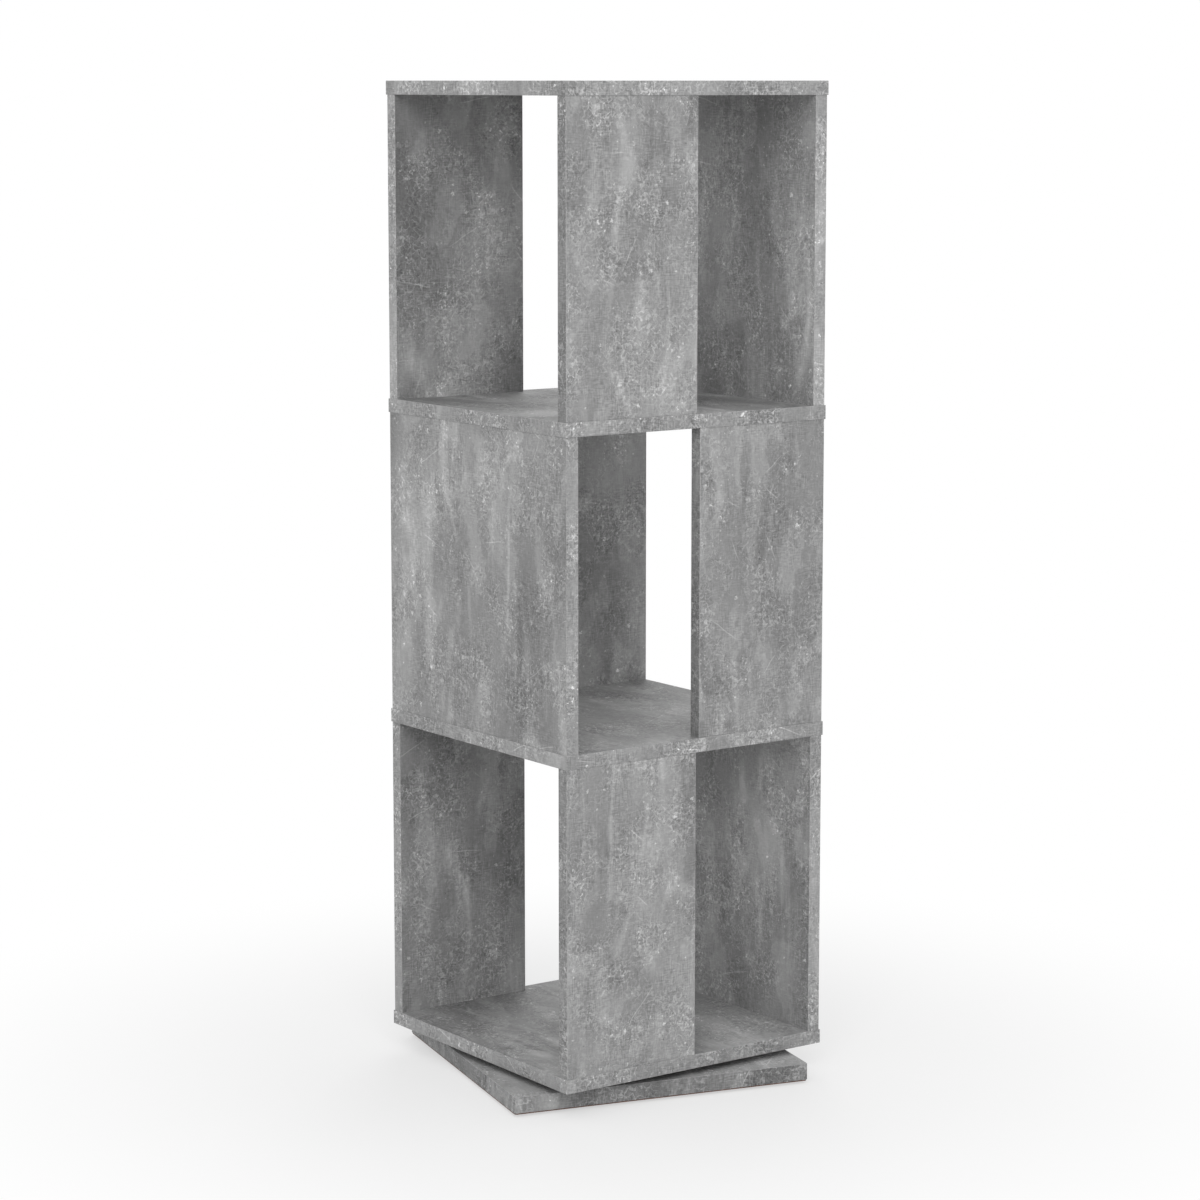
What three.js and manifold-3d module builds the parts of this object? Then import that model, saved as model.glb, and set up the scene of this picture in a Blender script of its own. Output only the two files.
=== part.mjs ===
// A rotating media tower: three open bays of chipboard boards stacked into one cabinet, which
// turns on a ball-bearing turntable above a square base plate. Each bay is closed on one side,
// half closed on the two sides next to it and open on the fourth, and every bay is turned half
// round from the one below. Sizes are in millimetres, +Z is up, and the origin is on the floor,
// on the axis that the tower turns about.
import * as THREE from 'three';
import { mergeVertices } from 'three/addons/utils/BufferGeometryUtils.js';
import Module from 'manifold-3d';

const wasm = await Module();
wasm.setup();

// Driving dimensions of the boards
const towerSide = 340;
const boardThickness = 15;
const bayHeight = 330;
const plateOverhang = 1;
const halfPanelWidth = 167;
const bayNames = ['bottom', 'middle', 'top'];
const plateNames = ['bottom_plate', 'lower_shelf', 'upper_shelf', 'top_plate'];

// Driving dimensions of the base, and how far the base is turned under the tower
const baseSide = 340;
const baseThickness = 19;
const baseCornerRadius = 3;
const baseTurn = THREE.MathUtils.degToRad(-13.7);
const glideHeight = 3;
const turntableHeight = 8;

// Clearances: a fitting in its hole, and turntable parts that pass each other
const fitGap = 0.3;
const runningGap = 0.5;
const cutOverrun = 1;

// Heights of the stack, from the floor up
const baseTop = glideHeight + baseThickness;
const towerUnderside = baseTop + turntableHeight;
const bayPitch = bayHeight + boardThickness;

// Finishes
const finishes = {
  board: { color: 0x9a9a99, roughness: 0.72, metalness: 0 },
  steel: { color: 0xb4b6b8, roughness: 0.35, metalness: 1 },
  zinc: { color: 0x9fa1a3, roughness: 0.45, metalness: 1 },
  glide: { color: 0x2b2624, roughness: 0.85, metalness: 0 },
};

// Round details get few sides, because they are small or hidden
const holeSides = 8;
const camSides = 12;
const ballSides = 6;
const ringSides = 40;
const cornerSegments = 4;

// Turns a closed geometry into a solid that can be cut and joined
function solidOf(geometry) {
  const shell = geometry.clone();
  shell.deleteAttribute('normal');
  shell.deleteAttribute('uv');
  const merged = mergeVertices(shell);
  return new wasm.Manifold(new wasm.Mesh({
    numProp: 3,
    vertProperties: Float32Array.from(merged.attributes.position.array),
    triVerts: Uint32Array.from(merged.index.array),
  }));
}

// Joins the added geometries to the first one, takes the cut ones away and gives the result back
function joinAndCut(geometry, added, cut) {
  let body = solidOf(geometry);
  for (const piece of added) body = body.add(solidOf(piece));
  for (const hole of cut) body = body.subtract(solidOf(hole));
  const { vertProperties, triVerts } = body.getMesh();
  const result = new THREE.BufferGeometry();
  result.setAttribute('position', new THREE.BufferAttribute(vertProperties, 3));
  result.setIndex(new THREE.BufferAttribute(triVerts, 1));
  result.computeVertexNormals();
  return result;
}

// A round rod or hole that runs up from a point, or down from it when the length is negative
function rod(radius, length, sides, x, y, z) {
  const geometry = new THREE.CylinderGeometry(radius, radius, Math.abs(length), sides);
  return geometry.rotateX(Math.PI / 2).translate(x, y, z + length / 2);
}

// A solid of revolution about +Z; the profile runs counter-clockwise in radius and height
function turned(profile, sides) {
  const points = profile.map(([radius, height]) => new THREE.Vector2(radius, height));
  const startsOnAxis = profile[0][0] === 0;
  const outline = startsOnAxis ? points : [...points, points[0].clone()];
  return new THREE.LatheGeometry(outline, sides).rotateX(Math.PI / 2);
}

function addPiece(parent, name, geometry, finish) {
  const mesh = new THREE.Mesh(geometry, new THREE.MeshStandardMaterial(finishes[finish]));
  mesh.name = name;
  parent.add(mesh);
  return mesh;
}

// Panels stand just inside the edges of the plates
const panelEdge = towerSide / 2 - plateOverhang;
const panelLine = panelEdge - boardThickness / 2;
const fullPanelWidth = 2 * panelEdge;
const halfPanelCentre = halfPanelWidth / 2 - panelEdge;

// The three panels of a bay whose closed side is at +X and open side at -X, seen from above.
// A panel's own frame has its width along X, its inner face towards +Y and its height along Z.
const panelStands = [
  { side: 'closed', width: fullPanelWidth, x: panelLine, y: 0, turn: Math.PI / 2 },
  { side: 'front', width: halfPanelWidth, x: halfPanelCentre, y: -panelLine, turn: 0 },
  { side: 'back', width: halfPanelWidth, x: halfPanelCentre, y: panelLine, turn: Math.PI },
];

// Every second bay is turned half round, which swaps its front and its back
const isTurned = (bay) => bay % 2 === 1;
const bayTurn = (bay) => (isTurned(bay) ? Math.PI : 0);

function panelName(stand, bay) {
  if (stand.side === 'closed') return `${bayNames[bay]}_full_panel`;
  const facesFront = (stand.side === 'front') !== isTurned(bay);
  return `${bayNames[bay]}_${facesFront ? 'front' : 'back'}_half_panel`;
}

// Cam fittings: a cam sunk in the inner face of a panel pulls on a bolt screwed into the plate
const camRadius = 7.5;
const camPocketFloor = 2.7;
const camSetback = 24;
const camSlotLength = 8;
const camSlotWidth = 1.8;
const camSlotDepth = 2.4;
const camBoltRadius = 2.5;
const camBoltBoreRadius = 4;
const plateSkinOverBolt = 3.7;
const camPocketDepth = boardThickness - camPocketFloor;
const camBoltReach = boardThickness - plateSkinOverBolt - fitGap;

// Wooden dowels, glued into the ends of the panels
const dowelRadius = 4;
const dowelRoot = 20;
const plateSkinOverDowel = 5;
const dowelReach = boardThickness - plateSkinOverDowel - fitGap;

// Places of the fittings along the width of a panel, measured from its middle
const fittingInset = 37;
const fittingPitch = 32;

function fittingPlaces(width) {
  const outer = width / 2 - fittingInset;
  if (width === fullPanelWidth) {
    const inner = outer - fittingPitch;
    return { cams: [-outer, outer], dowels: [-inner, inner] };
  }
  return { cams: [0], dowels: [-outer, outer] };
}

// A panel with its dowels, its cam pockets and the bores that the cam bolts come in through
function panelGeometry(width) {
  const { cams, dowels } = fittingPlaces(width);
  const board = new THREE.BoxGeometry(width, boardThickness, bayHeight);
  const pegs = [];
  const holes = [];
  for (const end of [1, -1]) {
    const endFace = end * bayHeight / 2;
    const camHeight = endFace - end * camSetback;
    for (const place of dowels) {
      const length = end * (dowelRoot + dowelReach);
      pegs.push(rod(dowelRadius, length, holeSides, place, 0, endFace - end * dowelRoot));
    }
    for (const place of cams) {
      const depth = camPocketDepth + cutOverrun;
      const middle = boardThickness / 2 - camPocketDepth + depth / 2;
      const pocket = new THREE.CylinderGeometry(camRadius + fitGap, camRadius + fitGap, depth, camSides);
      holes.push(pocket.translate(place, middle, camHeight));
      const bore = end * (camSetback + cutOverrun);
      holes.push(rod(camBoltBoreRadius, bore, holeSides, place, 0, camHeight));
    }
  }
  return joinAndCut(board, pegs, holes);
}

// A cam with its bolt, in the frame of the panel: the cam's axis is Y and the bolt points up
function camFittingGeometry() {
  const camDepth = camPocketDepth - fitGap;
  const cam = new THREE.CylinderGeometry(camRadius, camRadius, camDepth, camSides);
  cam.translate(0, boardThickness / 2 - camDepth / 2, 0);
  const bolt = rod(camBoltRadius, camSetback + camBoltReach, holeSides, 0, 0, 0);
  const slotMiddle = boardThickness / 2;
  const slotHeight = 2 * camSlotDepth;
  const slots = [
    new THREE.BoxGeometry(camSlotLength, slotHeight, camSlotWidth).translate(0, slotMiddle, 0),
    new THREE.BoxGeometry(camSlotWidth, slotHeight, camSlotLength).translate(0, slotMiddle, 0),
  ];
  return joinAndCut(cam, [bolt], slots);
}

// Where the fittings of a bay's panels enter the plate above or below, seen from above
function plateFixings(bay) {
  const up = new THREE.Vector3(0, 0, 1);
  const fixings = [];
  for (const stand of panelStands) {
    const { cams, dowels } = fittingPlaces(stand.width);
    const holeAt = (place, radius, depth) => {
      const point = new THREE.Vector3(place, 0, 0).applyAxisAngle(up, stand.turn);
      point.add(new THREE.Vector3(stand.x, stand.y, 0)).applyAxisAngle(up, bayTurn(bay));
      fixings.push({ x: point.x, y: point.y, radius, depth });
    };
    for (const place of cams) holeAt(place, camBoltRadius + fitGap, camBoltReach + fitGap);
    for (const place of dowels) holeAt(place, dowelRadius + fitGap, dowelReach + fitGap);
  }
  return fixings;
}

// Turntable: two steel rings with a ring of balls between them. The lower ring is screwed to the
// base plate, and the upper ring hooks under its rim, so the tower can't be lifted off.
// Heights here are measured from the top of the base plate.
const ballRadius = 2.4;
const ballCount = 16;
const ballCircleRadius = 62;
const raceClearance = 0.3;
const raceLipAngle = THREE.MathUtils.degToRad(30);
const raceSteps = 3;
const ringFlangeThickness = 1.4;
const lowerFlangeInnerRadius = 36;
const lowerFlangeOuterRadius = 54;
const lowerBodyRadius = 68.5;
const lowerRimRadius = 72.5;
const hookThickness = 0.9;
const skirtThickness = 1.5;
const upperInnerRadius = 57;
const upperFlangeRadius = 92;
const cageThickness = 1.2;
const cageWidth = 8;

const ballHeight = turntableHeight / 2;
const raceRadius = ballRadius + raceClearance;
const raceLip = raceRadius * Math.sin(raceLipAngle);

// The grooves that the balls run in: points on an arc about the ball's middle
function raceArc(fromAngle, toAngle) {
  return Array.from({ length: raceSteps + 1 }, (_, step) => {
    const angle = THREE.MathUtils.lerp(fromAngle, toAngle, step / raceSteps);
    return [
      ballCircleRadius + raceRadius * Math.cos(angle),
      ballHeight + raceRadius * Math.sin(angle),
    ];
  });
}

// Wood screws of the turntable, with a round head
const screwShankRadius = 1.6;
const screwHeadRadius = 3.4;
const screwHeadCrownRadius = 2;
const screwHeadHeight = 1.8;
const screwHeadEdge = 0.9;
const screwLength = 12;
const screwTip = 3;
const screwCount = 4;
const lowerScrewCircle = 44;
const upperScrewCircle = 84;
const screwHoleDepth = screwLength - ringFlangeThickness + fitGap;

// Evenly spaced points on a circle, the first one halfway to the second from the X axis
function screwPoints(circle) {
  return Array.from({ length: screwCount }, (_, index) => {
    const angle = (2 * Math.PI * (index + 1 / 2)) / screwCount;
    return [circle * Math.cos(angle), circle * Math.sin(angle)];
  });
}

// Holes for the turntable's screws, through a ring or down into a board
function screwHoles(circle, bottom, top) {
  const depth = top - bottom;
  const radius = screwShankRadius + fitGap;
  return screwPoints(circle).map(([x, y]) => rod(radius, depth, holeSides, x, y, bottom));
}

// A screw whose head sits on z = 0 and whose point is below
function screwGeometry() {
  return turned([
    [0, -screwLength],
    [screwShankRadius, screwTip - screwLength],
    [screwShankRadius, 0],
    [screwHeadRadius, 0],
    [screwHeadRadius, screwHeadEdge],
    [screwHeadCrownRadius, screwHeadHeight],
    [0, screwHeadHeight],
  ], holeSides);
}

function lowerRingGeometry() {
  const lip = ballHeight - raceLip;
  const rimUnderside = runningGap + hookThickness + runningGap;
  const ring = turned([
    [lowerFlangeInnerRadius, 0],
    [lowerBodyRadius, 0],
    [lowerBodyRadius, rimUnderside],
    [lowerRimRadius, rimUnderside],
    [lowerRimRadius, lip],
    ...raceArc(-raceLipAngle, raceLipAngle - Math.PI),
    [lowerFlangeOuterRadius, lip],
    [lowerFlangeOuterRadius, ringFlangeThickness],
    [lowerFlangeInnerRadius, ringFlangeThickness],
  ], ringSides);
  const holes = screwHoles(lowerScrewCircle, -cutOverrun, ringFlangeThickness + cutOverrun);
  return joinAndCut(ring, [], holes);
}

function upperRingGeometry() {
  const lip = ballHeight + raceLip;
  const flangeUnderside = turntableHeight - ringFlangeThickness;
  const hookInnerRadius = lowerBodyRadius + runningGap;
  const skirtInnerRadius = lowerRimRadius + runningGap;
  const skirtRadius = skirtInnerRadius + skirtThickness;
  const ring = turned([
    [hookInnerRadius, runningGap],
    [skirtRadius, runningGap],
    [skirtRadius, flangeUnderside],
    [upperFlangeRadius, flangeUnderside],
    [upperFlangeRadius, turntableHeight],
    [upperInnerRadius, turntableHeight],
    [upperInnerRadius, lip],
    ...raceArc(Math.PI - raceLipAngle, raceLipAngle),
    [skirtInnerRadius, lip],
    [skirtInnerRadius, runningGap + hookThickness],
    [hookInnerRadius, runningGap + hookThickness],
  ], ringSides);
  const holes = screwHoles(upperScrewCircle, flangeUnderside - cutOverrun, turntableHeight + cutOverrun);
  return joinAndCut(ring, [], holes);
}

// The balls in their flat cage, made as one ring
function ballRingGeometry() {
  const innerRadius = ballCircleRadius - cageWidth / 2;
  const outerRadius = ballCircleRadius + cageWidth / 2;
  const underside = ballHeight - cageThickness / 2;
  const cage = turned([
    [innerRadius, underside],
    [outerRadius, underside],
    [outerRadius, underside + cageThickness],
    [innerRadius, underside + cageThickness],
  ], ringSides);
  const balls = Array.from({ length: ballCount }, (_, index) => {
    const angle = (2 * Math.PI * index) / ballCount;
    const x = ballCircleRadius * Math.cos(angle);
    const y = ballCircleRadius * Math.sin(angle);
    const ball = new THREE.SphereGeometry(ballRadius, ballSides, ballSides).rotateX(Math.PI / 2);
    return ball.translate(x, y, ballHeight);
  });
  return joinAndCut(cage, balls, []);
}

// Round glides, nailed into the underside of the base plate
const glideRadius = 11;
const glideChamfer = 1;
const glideNailRadius = 1;
const glideNailLength = 9;
const glideInset = 30;
const glideLine = baseSide / 2 - glideInset;

// Corners of the base plate, with the signs of X and Y in the base's own frame
const baseCorners = [
  { name: 'front_left', x: -1, y: -1 },
  { name: 'front_right', x: 1, y: -1 },
  { name: 'back_right', x: 1, y: 1 },
  { name: 'back_left', x: -1, y: 1 },
];

function glideGeometry() {
  return turned([
    [0, 0],
    [glideRadius - glideChamfer, 0],
    [glideRadius, glideChamfer],
    [glideRadius, glideHeight],
    [glideNailRadius, glideHeight],
    [glideNailRadius, glideHeight + glideNailLength],
    [0, glideHeight + glideNailLength],
  ], camSides);
}

// Base plate: a square with slightly rounded corners. One hole goes right through it, for the
// screwdriver that reaches the upper ring's screws as each of them is turned over the hole.
const driverHoleRadius = 6;

function roundedSquare(side, radius) {
  const half = side / 2;
  const inner = half - radius;
  const outline = new THREE.Shape();
  outline.moveTo(-inner, -half);
  outline.lineTo(inner, -half);
  outline.absarc(inner, -inner, radius, -Math.PI / 2, 0);
  outline.lineTo(half, inner);
  outline.absarc(inner, inner, radius, 0, Math.PI / 2);
  outline.lineTo(-inner, half);
  outline.absarc(-inner, inner, radius, Math.PI / 2, Math.PI);
  outline.lineTo(-half, -inner);
  outline.absarc(-inner, -inner, radius, Math.PI, 3 * Math.PI / 2);
  return outline;
}

function basePlateGeometry() {
  const board = new THREE.ExtrudeGeometry(roundedSquare(baseSide, baseCornerRadius), {
    depth: baseThickness,
    bevelEnabled: false,
    curveSegments: cornerSegments,
  });
  const nailHoles = baseCorners.map(({ x, y }) => {
    const length = glideNailLength + fitGap + cutOverrun;
    return rod(glideNailRadius + fitGap, length, holeSides, x * glideLine, y * glideLine, -cutOverrun);
  });
  const pilotFloor = baseThickness - screwHoleDepth;
  const pilots = screwHoles(lowerScrewCircle, pilotFloor, baseThickness + cutOverrun);
  const [[driverX, driverY]] = screwPoints(upperScrewCircle);
  const driverLength = baseThickness + 2 * cutOverrun;
  const driverHole = rod(driverHoleRadius, driverLength, camSides, driverX, driverY, -cutOverrun);
  return joinAndCut(board, [], [...nailHoles, ...pilots, driverHole]);
}

// A square plate with the holes that take the bolts and dowels of the panels on either side
function plateGeometry(index) {
  const board = new THREE.BoxGeometry(towerSide, towerSide, boardThickness);
  const face = boardThickness / 2;
  const holes = [];
  if (index < bayNames.length) {
    for (const { x, y, radius, depth } of plateFixings(index)) {
      holes.push(rod(radius, depth + cutOverrun, holeSides, x, y, face - depth));
    }
  }
  if (index > 0) {
    for (const { x, y, radius, depth } of plateFixings(index - 1)) {
      holes.push(rod(radius, depth + cutOverrun, holeSides, x, y, -face - cutOverrun));
    }
  } else {
    holes.push(...screwHoles(upperScrewCircle, -face - cutOverrun, screwHoleDepth - face));
  }
  return joinAndCut(board, [], holes);
}

// Base: everything that stays on the floor
const base = new THREE.Group();
base.rotation.z = baseTurn;
addPiece(base, 'base_plate', basePlateGeometry(), 'board').position.z = glideHeight;
addPiece(base, 'turntable_lower_ring', lowerRingGeometry(), 'steel').position.z = baseTop;

for (const { name, x, y } of baseCorners) {
  const glide = addPiece(base, `glide_${name}`, glideGeometry(), 'glide');
  glide.position.set(x * glideLine, y * glideLine, 0);
}

screwPoints(lowerScrewCircle).forEach(([x, y], index) => {
  const screw = addPiece(base, `lower_ring_screw_${index + 1}`, screwGeometry(), 'steel');
  screw.position.set(x, y, baseTop + ringFlangeThickness);
});

// Balls: they roll between the two rings, at half the tower's speed
const balls = addPiece(new THREE.Group(), 'turntable_ball_ring', ballRingGeometry(), 'steel');
balls.position.z = baseTop;

// Tower: everything that turns above the balls
const tower = new THREE.Group();
addPiece(tower, 'turntable_upper_ring', upperRingGeometry(), 'steel').position.z = baseTop;

screwPoints(upperScrewCircle).forEach(([x, y], index) => {
  const screw = addPiece(tower, `upper_ring_screw_${index + 1}`, screwGeometry(), 'steel');
  screw.rotation.x = Math.PI;
  screw.position.set(x, y, towerUnderside - ringFlangeThickness);
});

plateNames.forEach((name, index) => {
  const plate = addPiece(tower, name, plateGeometry(index), 'board');
  plate.position.z = towerUnderside + boardThickness / 2 + index * bayPitch;
});

bayNames.forEach((bayName, bay) => {
  const bayGroup = new THREE.Group();
  bayGroup.rotation.z = bayTurn(bay);
  bayGroup.position.z = towerUnderside + boardThickness + bayHeight / 2 + bay * bayPitch;
  tower.add(bayGroup);
  for (const stand of panelStands) {
    const name = panelName(stand, bay);
    const standGroup = new THREE.Group();
    standGroup.position.set(stand.x, stand.y, 0);
    standGroup.rotation.z = stand.turn;
    bayGroup.add(standGroup);
    addPiece(standGroup, name, panelGeometry(stand.width), 'board');
    const { cams } = fittingPlaces(stand.width);
    for (const [endName, end] of [['upper', 1], ['lower', -1]]) {
      cams.forEach((place, index) => {
        const number = cams.length > 1 ? `_${index + 1}` : '';
        const cam = addPiece(standGroup, `${name}_${endName}_cam${number}`, camFittingGeometry(), 'zinc');
        cam.position.set(place, 0, end * (bayHeight / 2 - camSetback));
        cam.rotation.y = end > 0 ? 0 : Math.PI;
      });
    }
  }
});

const mediaTower = new THREE.Group();
mediaTower.add(base, balls, tower);

export default mediaTower;
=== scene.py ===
"""A rotating media tower: three bays of concrete-look boards that turn above a base plate."""

import math

import bmesh
import bpy
from mathutils import Matrix, Vector


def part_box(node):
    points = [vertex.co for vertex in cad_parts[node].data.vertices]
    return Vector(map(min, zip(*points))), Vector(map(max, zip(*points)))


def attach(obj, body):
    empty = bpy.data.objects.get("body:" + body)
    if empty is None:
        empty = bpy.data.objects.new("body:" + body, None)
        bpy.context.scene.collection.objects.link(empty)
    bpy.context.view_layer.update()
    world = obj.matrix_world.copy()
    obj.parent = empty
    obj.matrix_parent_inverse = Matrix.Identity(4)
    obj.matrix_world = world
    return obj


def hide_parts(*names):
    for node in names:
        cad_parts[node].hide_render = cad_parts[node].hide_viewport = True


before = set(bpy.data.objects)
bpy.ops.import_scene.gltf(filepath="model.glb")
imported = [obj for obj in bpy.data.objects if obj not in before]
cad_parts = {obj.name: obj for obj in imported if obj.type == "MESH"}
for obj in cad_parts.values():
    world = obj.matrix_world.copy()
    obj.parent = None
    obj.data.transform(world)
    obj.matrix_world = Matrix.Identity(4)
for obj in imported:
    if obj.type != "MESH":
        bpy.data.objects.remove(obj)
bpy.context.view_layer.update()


# Camera: it stands where the photograph was taken, level with the tower's top and in front of
# the corner between its front and its left side. The lens is long, so edges stay straight.
CAMERA_PLACE = (-2.156, -3.017, 1.080)
CAMERA_TURN_DEG = -35.47
CAMERA_DIP_DEG = 8.06
SENSOR_WIDTH_MM = 36
PICTURE_SIDE_PX = 1200
FOCAL_LENGTH_PX = 3428
AXIS_ABOVE_CENTRE_PX = 34

camera_data = bpy.data.cameras.new("camera")
camera_data.sensor_width = SENSOR_WIDTH_MM
camera_data.lens = SENSOR_WIDTH_MM * FOCAL_LENGTH_PX / PICTURE_SIDE_PX
camera_data.shift_y = -AXIS_ABOVE_CENTRE_PX / PICTURE_SIDE_PX
camera = bpy.data.objects.new("camera", camera_data)
camera.location = CAMERA_PLACE
camera.rotation_euler = (math.radians(90 - CAMERA_DIP_DEG), 0, math.radians(CAMERA_TURN_DEG))
bpy.context.scene.collection.objects.link(camera)
bpy.context.scene.camera = camera
bpy.context.scene.view_settings.view_transform = "Standard"


# Studio: a matt white floor that runs out into a white room. The room lights the tower evenly
# from all round, a large soft lamp at the front adds to that, and a smaller one stands behind.
ROOM_LIGHT = 0.70
FLOOR_SIDE = 12.0
FLOOR_WHITE = (0.85, 0.85, 0.85, 1)
PURE_WHITE = (1, 1, 1, 1)
WHITE_SHARE_UNDER_TOWER = 0.55
WHITE_GROWS_FROM = 0.25
WHITE_FULL_FROM = 0.9
FRONT_LAMP = {"place": (-2.15, -2.85, 2.9), "side": 2.4, "watts": 66}
BACK_LAMP = {"place": (2.3, 2.6, 2.6), "side": 2.0, "watts": 30}
LAMP_AIM = Vector((0, 0, 0.55))


class Socket:
    """An output in a node tree. Sums of sockets and numbers add the Math nodes they need."""

    def __init__(self, tree, output=None):
        self.tree = tree
        self.output = output

    def node(self, kind, settings=None, values=None, output=0):
        """Adds a node of that type, sets it up, and gives back one of its outputs."""
        made = self.tree.nodes.new(kind)
        for setting, value in (settings or {}).items():
            setattr(made, setting, value)
        for name, value in (values or {}).items():
            if isinstance(value, Socket):
                self.tree.links.new(value.output, made.inputs[name])
            else:
                made.inputs[name].default_value = value
        return Socket(self.tree, made.outputs[output] if made.outputs else None)

    def also(self, output):
        """Another output of the node that this one belongs to."""
        return Socket(self.tree, self.output.node.outputs[output])

    def maths(self, operation, first, second=0):
        return self.node("ShaderNodeMath", {"operation": operation}, {0: first, 1: second})

    def __add__(self, other):
        return self.maths("ADD", self, other)

    def __radd__(self, other):
        return self.maths("ADD", other, self)

    def __sub__(self, other):
        return self.maths("SUBTRACT", self, other)

    def __rsub__(self, other):
        return self.maths("SUBTRACT", other, self)

    def __mul__(self, other):
        return self.maths("MULTIPLY", self, other)

    def __rmul__(self, other):
        return self.maths("MULTIPLY", other, self)

    def __pow__(self, other):
        return self.maths("POWER", self, other)

    def __abs__(self):
        return self.maths("ABSOLUTE", self)

    def rise(self, low, high):
        """0 below low and 1 above high, with a soft step between."""
        settings = {"interpolation_type": "SMOOTHSTEP"}
        return self.node("ShaderNodeMapRange", settings, {0: self, 1: low, 2: high})

    def vector(self, operation, other, output=0):
        settings = {"operation": operation}
        return self.node("ShaderNodeVectorMath", settings, {0: self, 1: other}, output)

    def blend(self, first, second):
        """A colour between two, by this share of the second."""
        return self.node("ShaderNodeMix", {"data_type": "RGBA"}, {0: self, 6: first, 7: second}, 2)

    def bump(self, strength, relief):
        """A surface that rises with this height, by up to so many metres."""
        values = {"Strength": strength, "Distance": relief, "Height": self}
        return self.node("ShaderNodeBump", {}, values)


def node_material(name, surface, *details):
    """A material whose shader is what surface makes in an empty node tree."""
    material = bpy.data.materials.new(name)
    material.use_nodes = True
    material.node_tree.nodes.clear()
    start = Socket(material.node_tree)
    start.node("ShaderNodeOutputMaterial", {}, {"Surface": surface(start, *details)})
    return material


def place_in_space(start):
    """Where a point of the surface is, in metres."""
    return start.node("ShaderNodeTexCoord", {}, {}, "Object")


def seen_directly(start):
    """1 for rays that show the room itself, on the camera or in metal, and 0 for its light."""
    camera_ray = start.node("ShaderNodeLightPath", {}, {}, "Is Camera Ray")
    return camera_ray + camera_ray.also("Is Glossy Ray") + camera_ray.also("Is Transmission Ray")


def floor_surface(start):
    """Matt white, which turns into the white of the room away from the tower."""
    distance = place_in_space(start).vector("LENGTH", (0, 0, 0), "Value")
    matt = start.node("ShaderNodeBsdfDiffuse", {}, {"Color": FLOOR_WHITE})
    white = start.node("ShaderNodeEmission", {}, {"Color": PURE_WHITE, "Strength": 1})
    outside = distance.rise(WHITE_GROWS_FROM, WHITE_FULL_FROM)
    white_share = WHITE_SHARE_UNDER_TOWER + (1 - WHITE_SHARE_UNDER_TOWER) * outside
    share = white_share * seen_directly(start)
    return start.node("ShaderNodeMixShader", {}, {0: share, 1: matt, 2: white})


def studio_lamp(name, place, side, watts):
    lamp = bpy.data.lights.new(name, "AREA")
    lamp.shape = "SQUARE"
    lamp.size = side
    lamp.energy = watts
    stand = bpy.data.objects.new(name, lamp)
    stand.location = place
    stand.rotation_euler = (LAMP_AIM - Vector(place)).to_track_quat("-Z", "Y").to_euler()
    bpy.context.scene.collection.objects.link(stand)


def rectangle(low_x, low_y, high_x, high_y):
    """Corners of a rectangle, anticlockwise."""
    return [(low_x, low_y), (high_x, low_y), (high_x, high_y), (low_x, high_y)]


floor_half = FLOOR_SIDE / 2
floor_outline = rectangle(-floor_half, -floor_half, floor_half, floor_half)
floor_mesh = bpy.data.meshes.new("floor")
floor_mesh.from_pydata([(x, y, 0) for x, y in floor_outline], [], [(0, 1, 2, 3)])
floor_mesh.materials.append(node_material("floor_white", floor_surface))
floor = bpy.data.objects.new("floor", floor_mesh)
bpy.context.scene.collection.objects.link(floor)

world = bpy.data.worlds.new("white_room")
world.use_nodes = True
world.node_tree.nodes.clear()
room = Socket(world.node_tree)
soft_light = room.node("ShaderNodeBackground", {}, {"Color": PURE_WHITE, "Strength": ROOM_LIGHT})
backdrop = room.node("ShaderNodeBackground", {}, {"Color": PURE_WHITE, "Strength": 1})
room_parts = {0: seen_directly(room), 1: soft_light, 2: backdrop}
room_mix = room.node("ShaderNodeMixShader", {}, room_parts)
room.node("ShaderNodeOutputWorld", {}, {"Surface": room_mix})
bpy.context.scene.world = world
studio_lamp("front_lamp", **FRONT_LAMP)
studio_lamp("back_lamp", **BACK_LAMP)


# Base plate: a square of 19 mm chipboard with concrete-look paper pressed on both faces. One
# strip of the same look is glued round its edge, and below it the brown backing board shows.
EDGING_THICKNESS = 0.0005
EDGING_ROUNDING = 0.00035
EDGING_ROUNDING_STEPS = 3
EDGING_SMOOTH_DEG = 40
BASE_CORNER_RADIUS = 0.003
BASE_CORNER_STEPS = 6
BACKING_THICKNESS = 0.0012
BACKING_SETBACK = 0.0002
GLIDE_INSET = 0.030
GLIDE_NAIL_RADIUS = 0.001
GLIDE_NAIL_LENGTH = 0.009
SCREW_HOLE_RADIUS = 0.0019
DRIVER_HOLE_RADIUS = 0.006
FIT_GAP = 0.0003
CUT_OVERRUN = 0.001
ROD_STEPS = 20
FACING_SHARE = 0.9

# The printed paper comes as an endless sheet. These say where on it the faces and the edging
# are cut, and how far apart it is cut for the different faces of one board.
BASE_SHEET = (2.31, 1.07)
BASE_EDGE_SHEET = (3.10, 0.55)
SHEET_PITCH = 0.43

# Tones of the print, as the eye sees them, from 0 for black to 1 for white. Each pair of shares
# says how strong the broad and the fine features are on that edging.
CONCRETE_TONE = 0.568
PALE_TONE = 0.68
EDGING_TONE = 0.585
EDGING_SHARES = (0.6, 1.25)
BASE_EDGING_TONE = 0.53
BASE_EDGING_SHARES = (1.3, 1.25)
WORN_TONE = 0.66
DISPLAY_GAMMA = 2.2
BLACK = (0, 0, 0, 1)

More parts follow.
